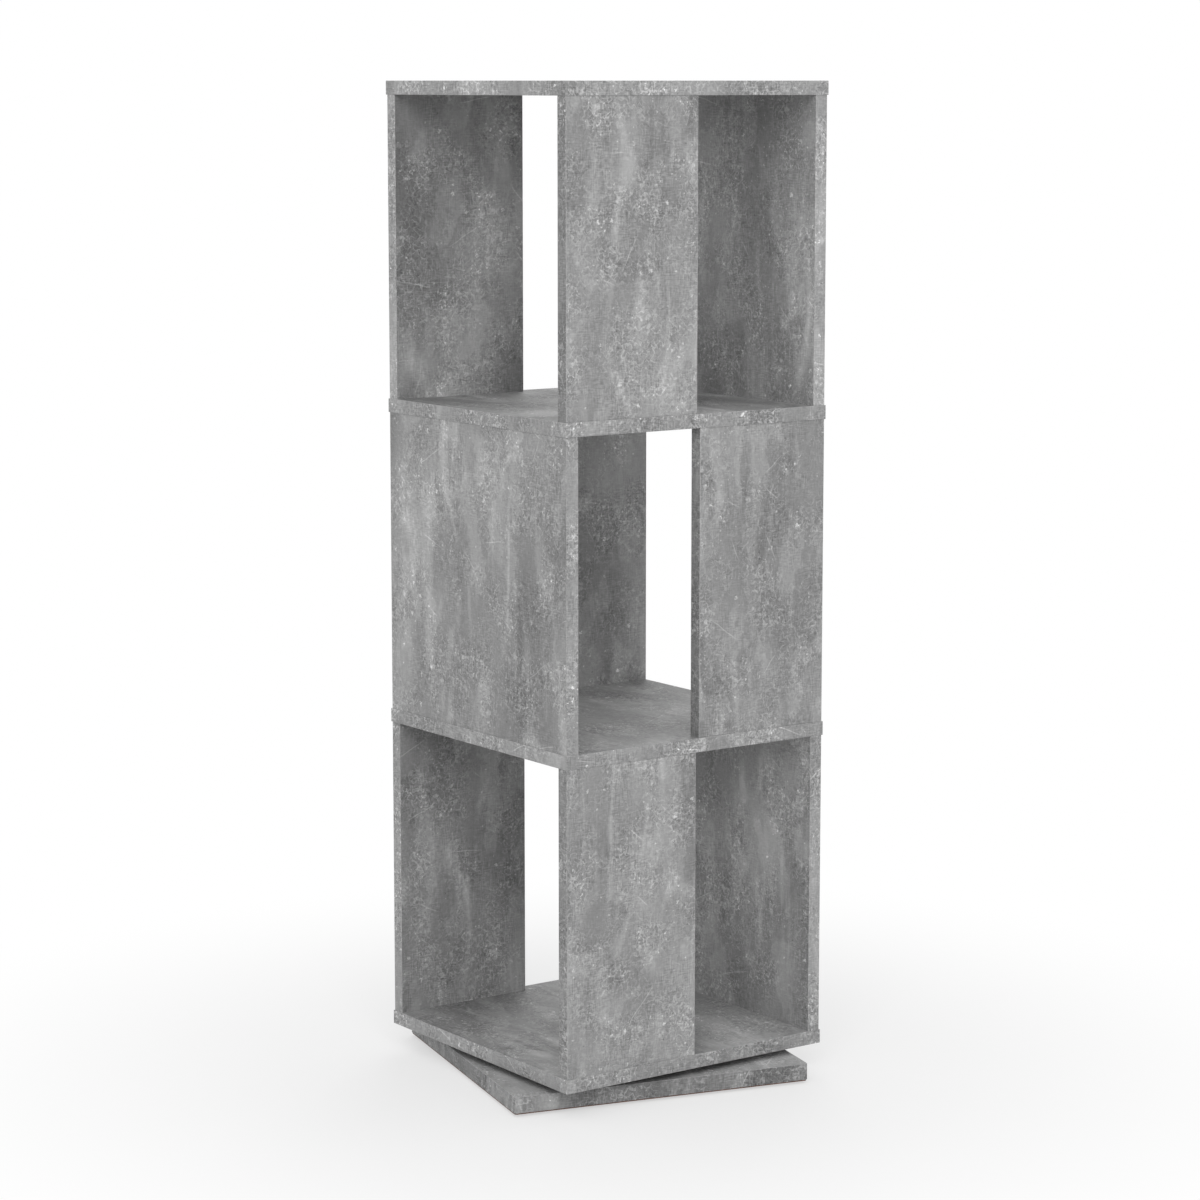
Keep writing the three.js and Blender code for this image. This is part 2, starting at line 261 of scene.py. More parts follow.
# Features of the print. A grain is their size across and along the board, in metres, how many
# finer sizes lie over it, and their own layer of the noise. Places are a grain with the levels
# of the noise between which they go from bare to full, and curls are one with a line width. A
# fray is how far an outline strays, over what size, and its layer.
FRAY_LAYERS_APART = 7
SHEET_FRAY = (0.030, 0.16, 3)
CLOUD_GRAIN = (0.12, 0.26, 3, 11)
SMEAR_FRAY = (0.014, 0.02, 13)
SMEAR_EDGE_FRAY = (0.005, 0.005, 19)
SMEAR_PLACES = (0.040, 0.085, 6, 15, 0.50, 0.57)
SMEARED_SHARE = 0.4
FIBRE_GRAIN = (0.0115, 0.15, 5, 23)
FIBRE_STRENGTH = 0.55
PALE_FIBRE_LEVELS = (0.50, 0.66)
PALE_FIBRE_STRENGTH = 0.17
STREAKED_PLACES = (0.09, 0.11, 2, 17, 0.42, 0.62)
VEIN_GRAIN = (0.14, 0.55, 1, 29)
VEIN_COUNT = 5
VEIN_WIDTH = 0.09
VEINED_PLACES = (0.09, 0.30, 2, 31, 0.42, 0.62)
ROUGH_FRAY = (0.02, 0.02, 35)
ROUGH_PLACES = (0.050, 0.065, 5, 37, 0.38, 0.62)
ROUGH_ANYWHERE = 0.22
ROUGH_IN_PLACES = 0.98
FINE_FRAY = (0.0030, 0.0034, 41)
MOTTLE_GRAIN = (0.0028, 0.0032, 3, 43)
BLOTCH_GRAIN = (0.010, 0.013, 3, 49)
CURL_FRAY = (0.0080, 0.0070, 71)
PALE_CURLS = (0.0080, 0.0090, 1, 45, 0.045)
DARK_CURLS = (0.0074, 0.0084, 1, 51, 0.040)
WEFT_GRAIN = (0.0080, 0.0015, 1, 47)
WARP_GRAIN = (0.0015, 0.0110, 1, 53)
WOVEN_PLACES = (0.045, 0.06, 3, 73, 0.42, 0.62)
WOVEN_ANYWHERE = 0.07
WOVEN_IN_PLACES = 0.15
CHIPPED_PLACES = (0.030, 0.035, 3, 57, 0.46, 0.66)
CHIP_PLACES = (0.0042, 0.0046, 3, 63, 0.60, 0.68)
WORN_PLACES = (0.006, 0.006, 4, 67, 0.42, 0.60)

# Flecks and pits lie on scattered points: the spacing of the points, the largest radius, the
# share of points that have one anywhere, and how much more of them have one in their places.
# The shift gives pits other points than flecks. Scratches have a spacing, length and width, and
# the share of points that have one, and they swing to both sides by half their angle.
SMALL_FLECKS = (0.0050, 0.0014, 0.03, 0.35)
LARGE_FLECKS = (0.017, 0.0028, 0.04, 0.45)
LARGE_FLECK_FRAY = (0.009, 0.003, 59)
PITS = (0.0080, 0.0013, 0.02, 0.14)
PIT_SHIFT = (5, 3, 0)
SMALLEST_FLECK_SHARE = 0.35
SOFT_EDGE_SHARE = 0.5
SCRATCHES = (0.070, 0.060, 0.0010, 0.45)
SCRATCH_FRAY = (0.006, 0.03, 61)
SCRATCH_SWING = 2.4
SHORTEST_SCRATCH_SHARE = 0.3
SCRATCH_FADE_SHARE = 0.2
LOT_STEP = 0.02

# How much each feature lightens the print, raises it or takes its gloss away. A relief is how
# strongly it shows, and its height in metres.
BROAD_TONES = {"clouds": 0.46, "smears": 0.055, "streaks": 0.24, "veins": 0.085}
ROUGH_TONES = {"mottle": 0.24, "blotches": 0.12, "pale_curls": 0.105, "dark_curls": -0.050}
ROUGH_DARKENING = 0.010
MARK_TONES = {
    "small_flecks": 0.17, "large_flecks": 0.22, "chips": 0.16, "pits": -0.10, "scratches": 0.12,
}
PRINT_HEIGHTS = {
    "mottle": 1, "weave": 0.5, "small_flecks": 0.4, "large_flecks": 0.6, "pits": -0.6,
}
PRINT_RELIEF = (0.35, 0.00012)
PRINT_ROUGHNESS = 0.60
ROUGHNESS_RISES = {"mottle": 0.5, "roughened": 0.08, "large_flecks": 0.10}

# Raw chipboard, in the same terms.
CHIP_PALE = (0.46, 0.33, 0.19, 1)
CHIP_DARK = (0.17, 0.095, 0.045, 1)
BACKING_BROWN = (0.190, 0.090, 0.055, 1)
BACKING_DARK = (0.070, 0.033, 0.022, 1)
PRESSED_CHIPS = (0.0011, 0.0032, 4, 5, 0.35, 0.65)
DUST_GRAIN = (0.0004, 0.0004, 2, 9)
DUST_SHARE = 0.5
CHIPBOARD_ROUGHNESS = 0.85
DUST_ROUGHNESS = 0.2
CHIPBOARD_RELIEF = (0.6, 0.0003)


def grain_noise(place, across, along, detail, layer):
    """Noise with features of that size across and along the grain, in metres."""
    settings = {"operation": "MULTIPLY_ADD"}
    stretch = {0: place, 1: (1 / across, 1 / along, 1), 2: (0, 0, layer)}
    stretched = place.node("ShaderNodeVectorMath", settings, stretch)
    values = {"Vector": stretched, "Scale": 1, "Detail": detail}
    return place.node("ShaderNodeTexNoise", {}, values)


def swing(place, *grain):
    """Noise that swings to both sides of 0."""
    return grain_noise(place, *grain) - 0.5


def patches(place, across, along, detail, layer, bare, full):
    """Patches of noise, 0 below one level of it and 1 above the other."""
    return grain_noise(place, across, along, detail, layer).rise(bare, full)


def curls(place, across, along, detail, layer, width):
    """Thin winding lines, where the noise passes through its middle."""
    return 1 - abs(swing(place, across, along, detail, layer)).rise(0, width)


def frayed(place, reach, size, layer):
    """The place moved a little to and fro, so that what is drawn there has a ragged edge."""
    sideways = swing(place, size, size, 1, layer) * reach
    lengthwise = swing(place, size, size, 1, layer + FRAY_LAYERS_APART) * reach
    shift = place.node("ShaderNodeCombineXYZ", {}, {"X": sideways, "Y": lengthwise})
    return place.vector("ADD", shift)


def scattered_points(place, spacing):
    """The place in units of the spacing, the distance there to the nearest of many scattered
    points, and the lots drawn for that point, three numbers from 0 to 1."""
    spread = place.vector("MULTIPLY", (1 / spacing, 1 / spacing, 1 / spacing))
    values = {"Vector": spread, "Scale": 1}
    distance = place.node("ShaderNodeTexVoronoi", {"voronoi_dimensions": "2D"}, values)
    lots = place.node("ShaderNodeSeparateColor", {}, {"Color": distance.also("Color")}, "Red")
    return spread, distance, lots


def drawn_by_lot(lots, share):
    """1 at this share of the points, and 0 at the others."""
    return (lots + share).rise(1, 1 + LOT_STEP)


def flecks(place, field, spacing, radius, anywhere, in_places):
    """Ragged spots up to that radius, at more of the scattered points where the field is full."""
    _, distance, lots = scattered_points(place, spacing)
    size = SMALLEST_FLECK_SHARE + (1 - SMALLEST_FLECK_SHARE) * lots.also("Green")
    inside = size * (radius / spacing) - distance
    spots = inside.rise(0, SOFT_EDGE_SHARE * radius / spacing)
    return spots * drawn_by_lot(lots, anywhere + in_places * field)


def scratches(place, spacing, length, width, share):
    """Thin straight scratches that point any way, at this share of scattered points."""
    spread, distance, lots = scattered_points(place, spacing)
    from_point = spread.vector("SUBTRACT", distance.also("Position"))
    angle = (lots.also("Green") - 0.5) * SCRATCH_SWING
    values = {"Vector": from_point, "Angle": angle}
    turned_place = place.node("ShaderNodeVectorRotate", {"rotation_type": "Z_AXIS"}, values)
    across = place.node("ShaderNodeSeparateXYZ", {}, {0: turned_place}, "Y")
    beside = abs(across) * spacing
    beyond = abs(across.also("X")) * spacing
    size = SHORTEST_SCRATCH_SHARE + (1 - SHORTEST_SCRATCH_SHARE) * lots.also("Blue")
    inside = size * (length / 2) - beyond
    line = (width - beside).rise(0, width) * inside.rise(0, SCRATCH_FADE_SHARE * length)
    return line * drawn_by_lot(lots, share)


def weighted(features, weights):
    """The sum of the features that have a weight, each times its weight."""
    first, *others = [weight * features[name] for name, weight in weights.items()]
    return sum(others, first)


def finish(start, colour, roughness, relief, metallic=0.0):
    """The shader of an opaque surface."""
    values = {"Base Color": colour, "Roughness": roughness, "Normal": relief, "Metallic": metallic}
    return start.node("ShaderNodeBsdfPrincipled", {}, values)


def concrete_surface(start, tone, broad_share=1.0, fine_share=1.0, wear=0.0):
    """The printed decor: streaks along the grain, clouds, rough patches, flecks and scratches.
    wear lightens it in places, as rubbing does."""
    sheet = start.node("ShaderNodeUVMap", {"uv_map": "decor"})
    place = frayed(sheet, *SHEET_FRAY)
    smears_at = frayed(frayed(place, *SMEAR_FRAY), *SMEAR_EDGE_FRAY)
    ragged = frayed(sheet, *FINE_FRAY)
    curls_at = frayed(sheet, *CURL_FRAY)
    large_flecks_at = frayed(sheet, *LARGE_FLECK_FRAY)

    fibres = grain_noise(place, *FIBRE_GRAIN)
    pale_fibres = fibres.rise(*PALE_FIBRE_LEVELS)
    streaks = FIBRE_STRENGTH * (fibres - 0.5) + PALE_FIBRE_STRENGTH * pale_fibres
    winding = start.maths("FRACT", VEIN_COUNT * grain_noise(place, *VEIN_GRAIN))
    veins = 1 - abs(winding - 0.5).rise(0, VEIN_WIDTH)
    rough_places = patches(frayed(sheet, *ROUGH_FRAY), *ROUGH_PLACES)
    roughened = ROUGH_ANYWHERE + ROUGH_IN_PLACES * rough_places
    chipped = patches(sheet, *CHIPPED_PLACES) * roughened
    weave = swing(sheet, *WEFT_GRAIN) + swing(sheet, *WARP_GRAIN)
    woven = WOVEN_ANYWHERE + WOVEN_IN_PLACES * patches(sheet, *WOVEN_PLACES)
    features = {
        "clouds": swing(place, *CLOUD_GRAIN),
        "smears": patches(smears_at, *SMEAR_PLACES) - SMEARED_SHARE,
        "streaks": streaks * patches(place, *STREAKED_PLACES),
        "veins": veins * patches(place, *VEINED_PLACES),
        "roughened": roughened,
        "mottle": swing(ragged, *MOTTLE_GRAIN),
        "blotches": swing(ragged, *BLOTCH_GRAIN),
        "pale_curls": curls(curls_at, *PALE_CURLS),
        "dark_curls": curls(curls_at, *DARK_CURLS),
        "weave": weave,
        "chips": patches(ragged, *CHIP_PLACES) * chipped,
        "small_flecks": flecks(ragged, chipped, *SMALL_FLECKS),
        "large_flecks": flecks(large_flecks_at, chipped, *LARGE_FLECKS),
        "pits": flecks(ragged.vector("ADD", PIT_SHIFT), roughened, *PITS),
        "scratches": scratches(frayed(sheet, *SCRATCH_FRAY), *SCRATCHES),
    }

    broad = weighted(features, BROAD_TONES)
    rough = weighted(features, ROUGH_TONES) - ROUGH_DARKENING
    fine = roughened * rough + weighted(features, MARK_TONES) + woven * weave
    shade = tone + broad_share * broad + fine_share * fine
    if wear:
        shade = shade + wear * patches(sheet, *WORN_PLACES)
    colour = (shade ** DISPLAY_GAMMA).blend(BLACK, PURE_WHITE)
    roughness = PRINT_ROUGHNESS + weighted(features, ROUGHNESS_RISES)
    relief = weighted(features, PRINT_HEIGHTS).bump(*PRINT_RELIEF)
    return finish(start, colour, roughness, relief)


def chipboard_surface(start, pale, dark):
    """Pressed wood chips, as a sawn or drilled board shows them."""
    place = place_in_space(start)
    chips = patches(place, *PRESSED_CHIPS)
    dust = swing(place, *DUST_GRAIN)
    colour = (chips + DUST_SHARE * dust).blend(dark, pale)
    roughness = CHIPBOARD_ROUGHNESS + DUST_ROUGHNESS * dust
    return finish(start, colour, roughness, chips.bump(*CHIPBOARD_RELIEF))


concrete_face = node_material("concrete_face", concrete_surface, CONCRETE_TONE)
pale_face = node_material("pale_face", concrete_surface, PALE_TONE)
base_edging = node_material("base_edging", concrete_surface, BASE_EDGING_TONE, *BASE_EDGING_SHARES)
arris_look = (EDGING_TONE, *EDGING_SHARES, WORN_TONE - EDGING_TONE)
worn_arris = node_material("worn_arris", concrete_surface, *arris_look)
raw_chipboard = node_material("raw_chipboard", chipboard_surface, CHIP_PALE, CHIP_DARK)
brown_backing = node_material("brown_backing", chipboard_surface, BACKING_BROWN, BACKING_DARK)


def softened(outline, reach, steps):
    """An outline of 2D points with an arc at each corner, which starts that far before it."""
    rounded = []
    for index, corner in enumerate(outline):
        corner = Vector(corner)
        before = Vector(outline[index - 1]) - corner
        after = Vector(outline[(index + 1) % len(outline)]) - corner
        first = corner + before.normalized() * min(reach, before.length / 2)
        last = corner + after.normalized() * min(reach, after.length / 2)
        pull = math.cos((math.pi - before.angle(after)) / 2)
        for step in range(steps + 1):
            share = step / steps
            weights = ((1 - share) ** 2, 2 * share * (1 - share) * pull, share ** 2)
            spot = first * weights[0] + corner * weights[1] + last * weights[2]
            rounded.append(spot / sum(weights))
    return rounded


def circle(radius, steps, height=0.0):
    """Points round the upright axis."""
    angles = [2 * math.pi * step / steps for step in range(steps)]
    return [Vector((radius * math.cos(turn), radius * math.sin(turn), height)) for turn in angles]


def add_skin(shape, rings, closed=False, finishes=None):
    """A skin over rings of points. A ring may be one point, and open ends get a flat face.
    finishes gives the material number of each face round a ring."""
    made = [[shape.verts.new(point) for point in ring] for ring in rings]
    around = max(len(ring) for ring in rings)
    for ring, following in zip(made, made[1:] + made[:1] if closed else made[1:]):
        for index in range(around):
            after = (index + 1) % around
            corners = [ring[index % len(ring)], ring[after % len(ring)]]
            corners += [following[after % len(following)], following[index % len(following)]]
            face = shape.faces.new(dict.fromkeys(corners))
            face.material_index = finishes[index] if finishes else 0
    if not closed:
        for end in (made[0], made[-1]):
            if len(end) > 1:
                shape.faces.new(end)


def smooth(mesh, smooth_deg):
    """Makes a mesh smooth across edges that turn less than that."""
    mesh.shade_smooth()
    mesh.set_sharp_from_angle(angle=math.radians(smooth_deg))


def mesh_of(shape, name, *finishes):
    """The finished mesh of a shape, in flat faces."""
    mesh = bpy.data.meshes.new(name)
    bmesh.ops.recalc_face_normals(shape, faces=shape.faces)
    shape.to_mesh(mesh)
    shape.free()
    for face_finish in finishes:
        mesh.materials.append(face_finish)
    return mesh


def slab_mesh(name, outline, bottom, top, *finishes):
    """A flat slab of that outline between two heights."""
    shape = bmesh.new()
    add_skin(shape, [[(x, y, height) for x, y in outline] for height in (bottom, top)])
    return mesh_of(shape, name, *finishes)


def cut_out(mesh, cutters):
    """The mesh with each cutter's shape taken out of it, one after the other."""
    work = bpy.data.objects.new("work", mesh)
    bpy.context.scene.collection.objects.link(work)
    tools = []
    for cutter in cutters:
        tool = bpy.data.objects.new("cutter", mesh_of(cutter, "cutter", *mesh.materials))
        bpy.context.scene.collection.objects.link(tool)
        cut = work.modifiers.new("cut", "BOOLEAN")
        cut.operation = "DIFFERENCE"
        cut.solver = "EXACT"
        cut.object = tool
        tools.append(tool)
    graph = bpy.context.evaluated_depsgraph_get()
    finished = bpy.data.meshes.new_from_object(work.evaluated_get(graph))
    finished.name = mesh.name
    for used in [work, *tools]:
        bpy.data.objects.remove(used)
    return finished


def add_rod(shape, radius, start, end, material=0):
    """Adds a round rod between two points to a shape."""
    start, end = Vector(start), Vector(end)
    turn = (end - start).to_track_quat("Z", "Y")
    round_section = [turn @ spot for spot in circle(radius, ROD_STEPS)]
    first_new = len(shape.faces)
    add_skin(shape, [[point + spot for spot in round_section] for point in (start, end)])
    shape.faces.ensure_lookup_table()
    for face in shape.faces[first_new:]:
        face.material_index = material


def upright_hole(spot, radius, mouth, end):
    """A hole for drilled(), above or below a spot, from the height of its mouth to its end."""
    mouth += math.copysign(CUT_OVERRUN, mouth - end)
    low, high = sorted((mouth, end))
    return radius, (spot.x, spot.y, low), (spot.x, spot.y, high)


def hole_through(spot, radius, bottom, top):
    """A hole for drilled(), through all that lies between two heights."""
    return upright_hole(spot, radius, bottom, top + CUT_OVERRUN)


def drilled(mesh, rounds, material=1):
    """The mesh with round holes. Each hole is a radius and the two points it runs between, and
    holes that run into each other are cut in separate rounds."""
    cutters = []
    for holes in rounds:
        cutter = bmesh.new()
        for radius, start, end in holes:
            add_rod(cutter, radius, start, end, material)
        cutters.append(cutter)
    return cut_out(mesh, cutters)


def lay_decor(mesh, start):
    """Lays the printed sheet on each face, upright on the sides, from a start on the sheet."""
    layer = mesh.uv_layers.new(name="decor")
    for polygon in mesh.polygons:
        axis = max(range(3), key=lambda number: abs(polygon.normal[number]))
        across, along = [(1, 2), (0, 2), (0, 1)][axis]
        facing_up = polygon.normal[axis] > 0
        shift = SHEET_PITCH * (axis + 3 * facing_up)
        for loop in polygon.loop_indices:
            point = mesh.vertices[mesh.loops[loop].vertex_index].co
            layer.data[loop].uv = (start[0] + shift + point[across], start[1] + point[along])


def board_mesh(name, outline, bottom, top, thickness_axis, rounds, start, face=concrete_face):
    """A board with the decor on its two broad faces and raw chipboard on its sides and holes."""
    mesh = slab_mesh(name, outline, bottom, top, face, raw_chipboard)
    for polygon in mesh.polygons:
        is_broad_face = abs(polygon.normal[thickness_axis]) > FACING_SHARE
        polygon.material_index = 0 if is_broad_face else 1
    mesh = drilled(mesh, rounds)
    lay_decor(mesh, start)
    return mesh


def edging_section(width):
    """Section of an edging strip, as how far out and how far across, with rounded outer edges.
    It comes with the material numbers of its sides: 0 on the flat, and 1 where it wears."""
    inner_corner = (-EDGING_THICKNESS, width / 2)
    outer_corner = []
    for step in range(EDGING_ROUNDING_STEPS + 1):
        angle = math.pi / 2 * (1 - step / EDGING_ROUNDING_STEPS)
        out = EDGING_ROUNDING * (math.cos(angle) - 1)
        outer_corner.append((out, width / 2 + EDGING_ROUNDING * (math.sin(angle) - 1)))
    upper = [inner_corner, *outer_corner]
    section = upper + [(out, -across) for out, across in reversed(upper)]
    finishes = [1] * len(section)
    finishes[len(upper) - 1] = 0
    return section, finishes


def piece_of(mesh, name, placing=None):
    """An object in the scene for a finished mesh, which is moved to its place first."""
    if placing:
        mesh = mesh.copy()
        mesh.transform(placing)
    piece = bpy.data.objects.new(name, mesh)
    bpy.context.scene.collection.objects.link(piece)
    return piece


def middle_of(node):
    low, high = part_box(node)
    return (low + high) / 2


def screws_of(ring):
    """The names of the four screws that hold the lower or the upper ring of the turntable."""
    return sorted(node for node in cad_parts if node.startswith(f"{ring}_ring_screw_"))


def rounded_square(half_side, corner_radius):
    """A square about the tower's axis, with rounded corners."""
    square = rectangle(-half_side, -half_side, half_side, half_side)
    return softened(square, corner_radius, BASE_CORNER_STEPS)


front_edge = middle_of("glide_front_right") - middle_of("glide_front_left")
base_half = front_edge.length / 2 + GLIDE_INSET
base_placing = Matrix.Rotation(math.atan2(front_edge.y, front_edge.x), 4, "Z")
base_low, base_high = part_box("base_plate")
edging_bottom = base_low.z + BACKING_THICKNESS

glide_names = ["glide_front_left", "glide_front_right", "glide_back_right", "glide_back_left"]
glide_spots = [base_placing.inverted() @ middle_of(name) for name in glide_names]
base_holes = []
nail_end = base_low.z + GLIDE_NAIL_LENGTH + FIT_GAP
for spot in glide_spots:
    base_holes.append(upright_hole(spot, GLIDE_NAIL_RADIUS + FIT_GAP, base_low.z, nail_end))
for screw in screws_of("lower"):
    spot = base_placing.inverted() @ middle_of(screw)
    screw_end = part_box(screw)[0].z - FIT_GAP
    base_holes.append(upright_hole(spot, SCREW_HOLE_RADIUS, base_high.z, screw_end))

# A screwdriver reaches each screw of the upper ring through this hole, as the tower is turned.
driver_spot = middle_of("upper_ring_screw_1")
base_holes.append(hole_through(driver_spot, DRIVER_HOLE_RADIUS, base_low.z, base_high.z))

core_half = base_half - EDGING_THICKNESS
core_outline = rounded_square(core_half, BASE_CORNER_RADIUS - EDGING_THICKNESS)
core_mesh = board_mesh(
    "base_plate_board", core_outline, edging_bottom, base_high.z, 2, [base_holes], BASE_SHEET,
    pale_face,
)
base_board = piece_of(core_mesh, "base_plate_board", base_placing)
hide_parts("base_plate")
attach(base_board, "base")

backing_outline = rounded_square(core_half - BACKING_SETBACK, BASE_CORNER_RADIUS)
backing_mesh = slab_mesh(
    "base_plate_backing", backing_outline, base_low.z, edging_bottom, brown_backing
)
backing_mesh = drilled(backing_mesh, [base_holes], 0)
backing = piece_of(backing_mesh, "base_plate_backing", base_placing)
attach(backing, "base")

edging_height = base_high.z - edging_bottom
edging_middle = edging_bottom + edging_height / 2
section, finishes = edging_section(edging_height)
edging_rings = []
for outer, inner in zip(rounded_square(base_half, BASE_CORNER_RADIUS), core_outline):
    outward = (outer - inner).normalized()
    spots = [(outer + outward * out, edging_middle + up) for out, up in section]
    edging_rings.append([(flat.x, flat.y, height) for flat, height in spots])
edging_shape = bmesh.new()
add_skin(edging_shape, edging_rings, True, finishes)
edging_mesh = mesh_of(edging_shape, "base_plate_edging", base_edging, worn_arris)
smooth(edging_mesh, EDGING_SMOOTH_DEG)
lay_decor(edging_mesh, BASE_EDGE_SHEET)
base_strip = piece_of(edging_mesh, "base_plate_edging", base_placing)
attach(base_strip, "base")


# Glides: four round plastic feet, each held by a nail through its middle. The nail's head sits
# in a hollow, clear of the floor.
GLIDE_RADIUS = 0.011
GLIDE_CHAMFER = 0.001
GLIDE_EASING_SHARE = 1 / 3
GLIDE_HOLLOW_RADIUS = 0.0032
GLIDE_SMOOTH_DEG = 30
NAIL_HEAD_RADIUS = 0.0027
NAIL_HEAD_BOTTOM = 0.0006
NAIL_HEAD_TOP = 0.0014
NAIL_CROWN_SHARE = 0.8
NAIL_TAPER_SHARE = 0.75
TURNED_STEPS = 48

GLIDE_BROWN = (0.030, 0.022, 0.018, 1)
GLIDE_SCUFFED = (0.075, 0.062, 0.052, 1)
PLASTIC_ROUGHNESS = 0.5
SCUFF_ROUGHNESS = 0.25
SCUFF_PLACES = (0.004, 0.0015, 4, 3, 0.55, 0.75)
MOULD_GRAIN = (0.0003, 0.0003, 2, 5)
MOULD_RELIEF = (0.4, 0.00005)

STEEL_PALE = (0.64, 0.65, 0.66, 1)
STEEL_DULL = (0.42, 0.42, 0.41, 1)
STEEL_ROUGHNESS = 0.30
CRYSTAL_GRAIN = (0.0006, 0.0006, 3, 3)
CRYSTAL_DULLING = 0.5
CRYSTAL_ROUGHNESS = 0.16
CRYSTAL_RELIEF = (0.2, 0.00003)
HANDLED_PLACES = (0.012, 0.012, 4, 5, 0.42, 0.68)
HANDLED_DULLING = 0.7
HANDLED_ROUGHNESS = 0.14
FRESH_PLATING = 0.1


def plastic_surface(start, colour, scuffed):
    """Moulded plastic with a fine spark-eroded grain and a few scuffs."""
    place = place_in_space(start)
    scuffs = patches(place, *SCUFF_PLACES)
    relief = grain_noise(place, *MOULD_GRAIN).bump(*MOULD_RELIEF)
    roughness = PLASTIC_ROUGHNESS + SCUFF_ROUGHNESS * scuffs
    return finish(start, scuffs.blend(colour, scuffed), roughness, relief)


def metal_surface(start, pale, dull, roughness):
    """Plated metal: small crystals in the plating, and duller clouds where it was handled."""
    place = place_in_space(start)
    crystals = grain_noise(place, *CRYSTAL_GRAIN)
    handled = patches(place, *HANDLED_PLACES)
    dulling = HANDLED_DULLING * handled + CRYSTAL_DULLING * crystals - FRESH_PLATING
    worn = roughness + HANDLED_ROUGHNESS * handled + CRYSTAL_ROUGHNESS * (crystals - 0.5)
    return finish(start, dulling.blend(pale, dull), worn, crystals.bump(*CRYSTAL_RELIEF), 1.0)


glide_plastic = node_material("glide_plastic", plastic_surface, GLIDE_BROWN, GLIDE_SCUFFED)
plated_steel = node_material("plated_steel", metal_surface, STEEL_PALE, STEEL_DULL, STEEL_ROUGHNESS)


def add_turned(shape, profile, closed=False, material=0, steps=TURNED_STEPS, centre=(0, 0, 0)):
    """Turns a profile of radius and height points about an upright axis. A closed profile makes
    a ring, and one that starts and ends on the axis makes a solid."""
    rings = []
    for radius, height in profile:
        spots = circle(radius, steps if radius > 0 else 1, height)
        rings.append([Vector(centre) + spot for spot in spots])
    add_skin(shape, rings, closed, [material] * steps)


glide_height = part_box("glide_front_left")[1].z - GLIDE_NAIL_LENGTH
hollow_top = NAIL_HEAD_TOP + FIT_GAP
nail_hole_radius = GLIDE_NAIL_RADIUS + FIT_GAP / 2
glide_easing = GLIDE_CHAMFER * GLIDE_EASING_SHARE
glide_shape = bmesh.new()
add_turned(glide_shape, [
    (GLIDE_HOLLOW_RADIUS, 0),
    (GLIDE_RADIUS - GLIDE_CHAMFER, 0),
    (GLIDE_RADIUS - glide_easing, glide_easing),
    (GLIDE_RADIUS, GLIDE_CHAMFER),
    (GLIDE_RADIUS, glide_height),
    (nail_hole_radius, glide_height),
    (nail_hole_radius, hollow_top),
    (GLIDE_HOLLOW_RADIUS, hollow_top),
], closed=True)
add_turned(glide_shape, [
    (0, NAIL_HEAD_BOTTOM),
    (NAIL_HEAD_RADIUS * NAIL_CROWN_SHARE, NAIL_HEAD_BOTTOM),
    (NAIL_HEAD_RADIUS, (NAIL_HEAD_BOTTOM + NAIL_HEAD_TOP) / 2),
    (NAIL_HEAD_RADIUS, NAIL_HEAD_TOP),
    (GLIDE_NAIL_RADIUS, NAIL_HEAD_TOP),
    (GLIDE_NAIL_RADIUS, glide_height + GLIDE_NAIL_LENGTH * NAIL_TAPER_SHARE),
    (0, glide_height + GLIDE_NAIL_LENGTH),
], material=1)
glide_mesh = mesh_of(glide_shape, "glide", glide_plastic, plated_steel)
smooth(glide_mesh, GLIDE_SMOOTH_DEG)
for name, spot in zip(glide_names, glide_spots):
    placing = base_placing @ Matrix.Translation((spot.x, spot.y, 0))
    glide = piece_of(glide_mesh, f"{name}_foot", placing)
    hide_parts(name)
    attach(glide, "base")


# Turntable: two rings pressed from plated steel sheet, with grooves that the balls run in. The
# lower ring is screwed to the base plate, and the upper ring hooks under its rim.
BALL_RADIUS = 0.0024
BALL_COUNT = 16
BALL_CIRCLE_RADIUS = 0.062
RACE_CLEARANCE = 0.0003
RACE_LIP_DEG = 30
RACE_STEPS = 10
RING_SHEET = 0.0014
PRESSED_ROUNDING = 0.0003
PRESSED_STEPS = 2
LOWER_INNER_RADIUS = 0.036
LOWER_STEP_RADIUS = 0.054
LOWER_BODY_RADIUS = 0.0685
LOWER_RIM_RADIUS = 0.0725
HOOK_THICKNESS = 0.0009
RUNNING_GAP = 0.0005
SKIRT_THICKNESS = 0.0015
UPPER_INNER_RADIUS = 0.057
UPPER_OUTER_RADIUS = 0.092
RING_STEPS = 128
RING_SMOOTH_DEG = 30

turntable_bottom = base_high.z
turntable_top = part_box("bottom_plate")[0].z
ball_height = (turntable_bottom + turntable_top) / 2
race_radius = BALL_RADIUS + RACE_CLEARANCE
race_lip = race_radius * math.sin(math.radians(RACE_LIP_DEG))


def race(first_deg, last_deg):
    """The groove that the balls run in, as profile points on an arc about the balls' middle."""
    points = []
    for step in range(RACE_STEPS + 1):
        angle = math.radians(first_deg + (last_deg - first_deg) * step / RACE_STEPS)
        height = ball_height + race_radius * math.sin(angle)
        points.append((BALL_CIRCLE_RADIUS + race_radius * math.cos(angle), height))
    return points


def add_pressed_ring(shape, profile):
    """Adds a ring with softly rounded edges, turned from a closed profile, to a shape."""
    rounded = softened(profile, PRESSED_ROUNDING, PRESSED_STEPS)
    add_turned(shape, rounded, closed=True, steps=RING_STEPS)


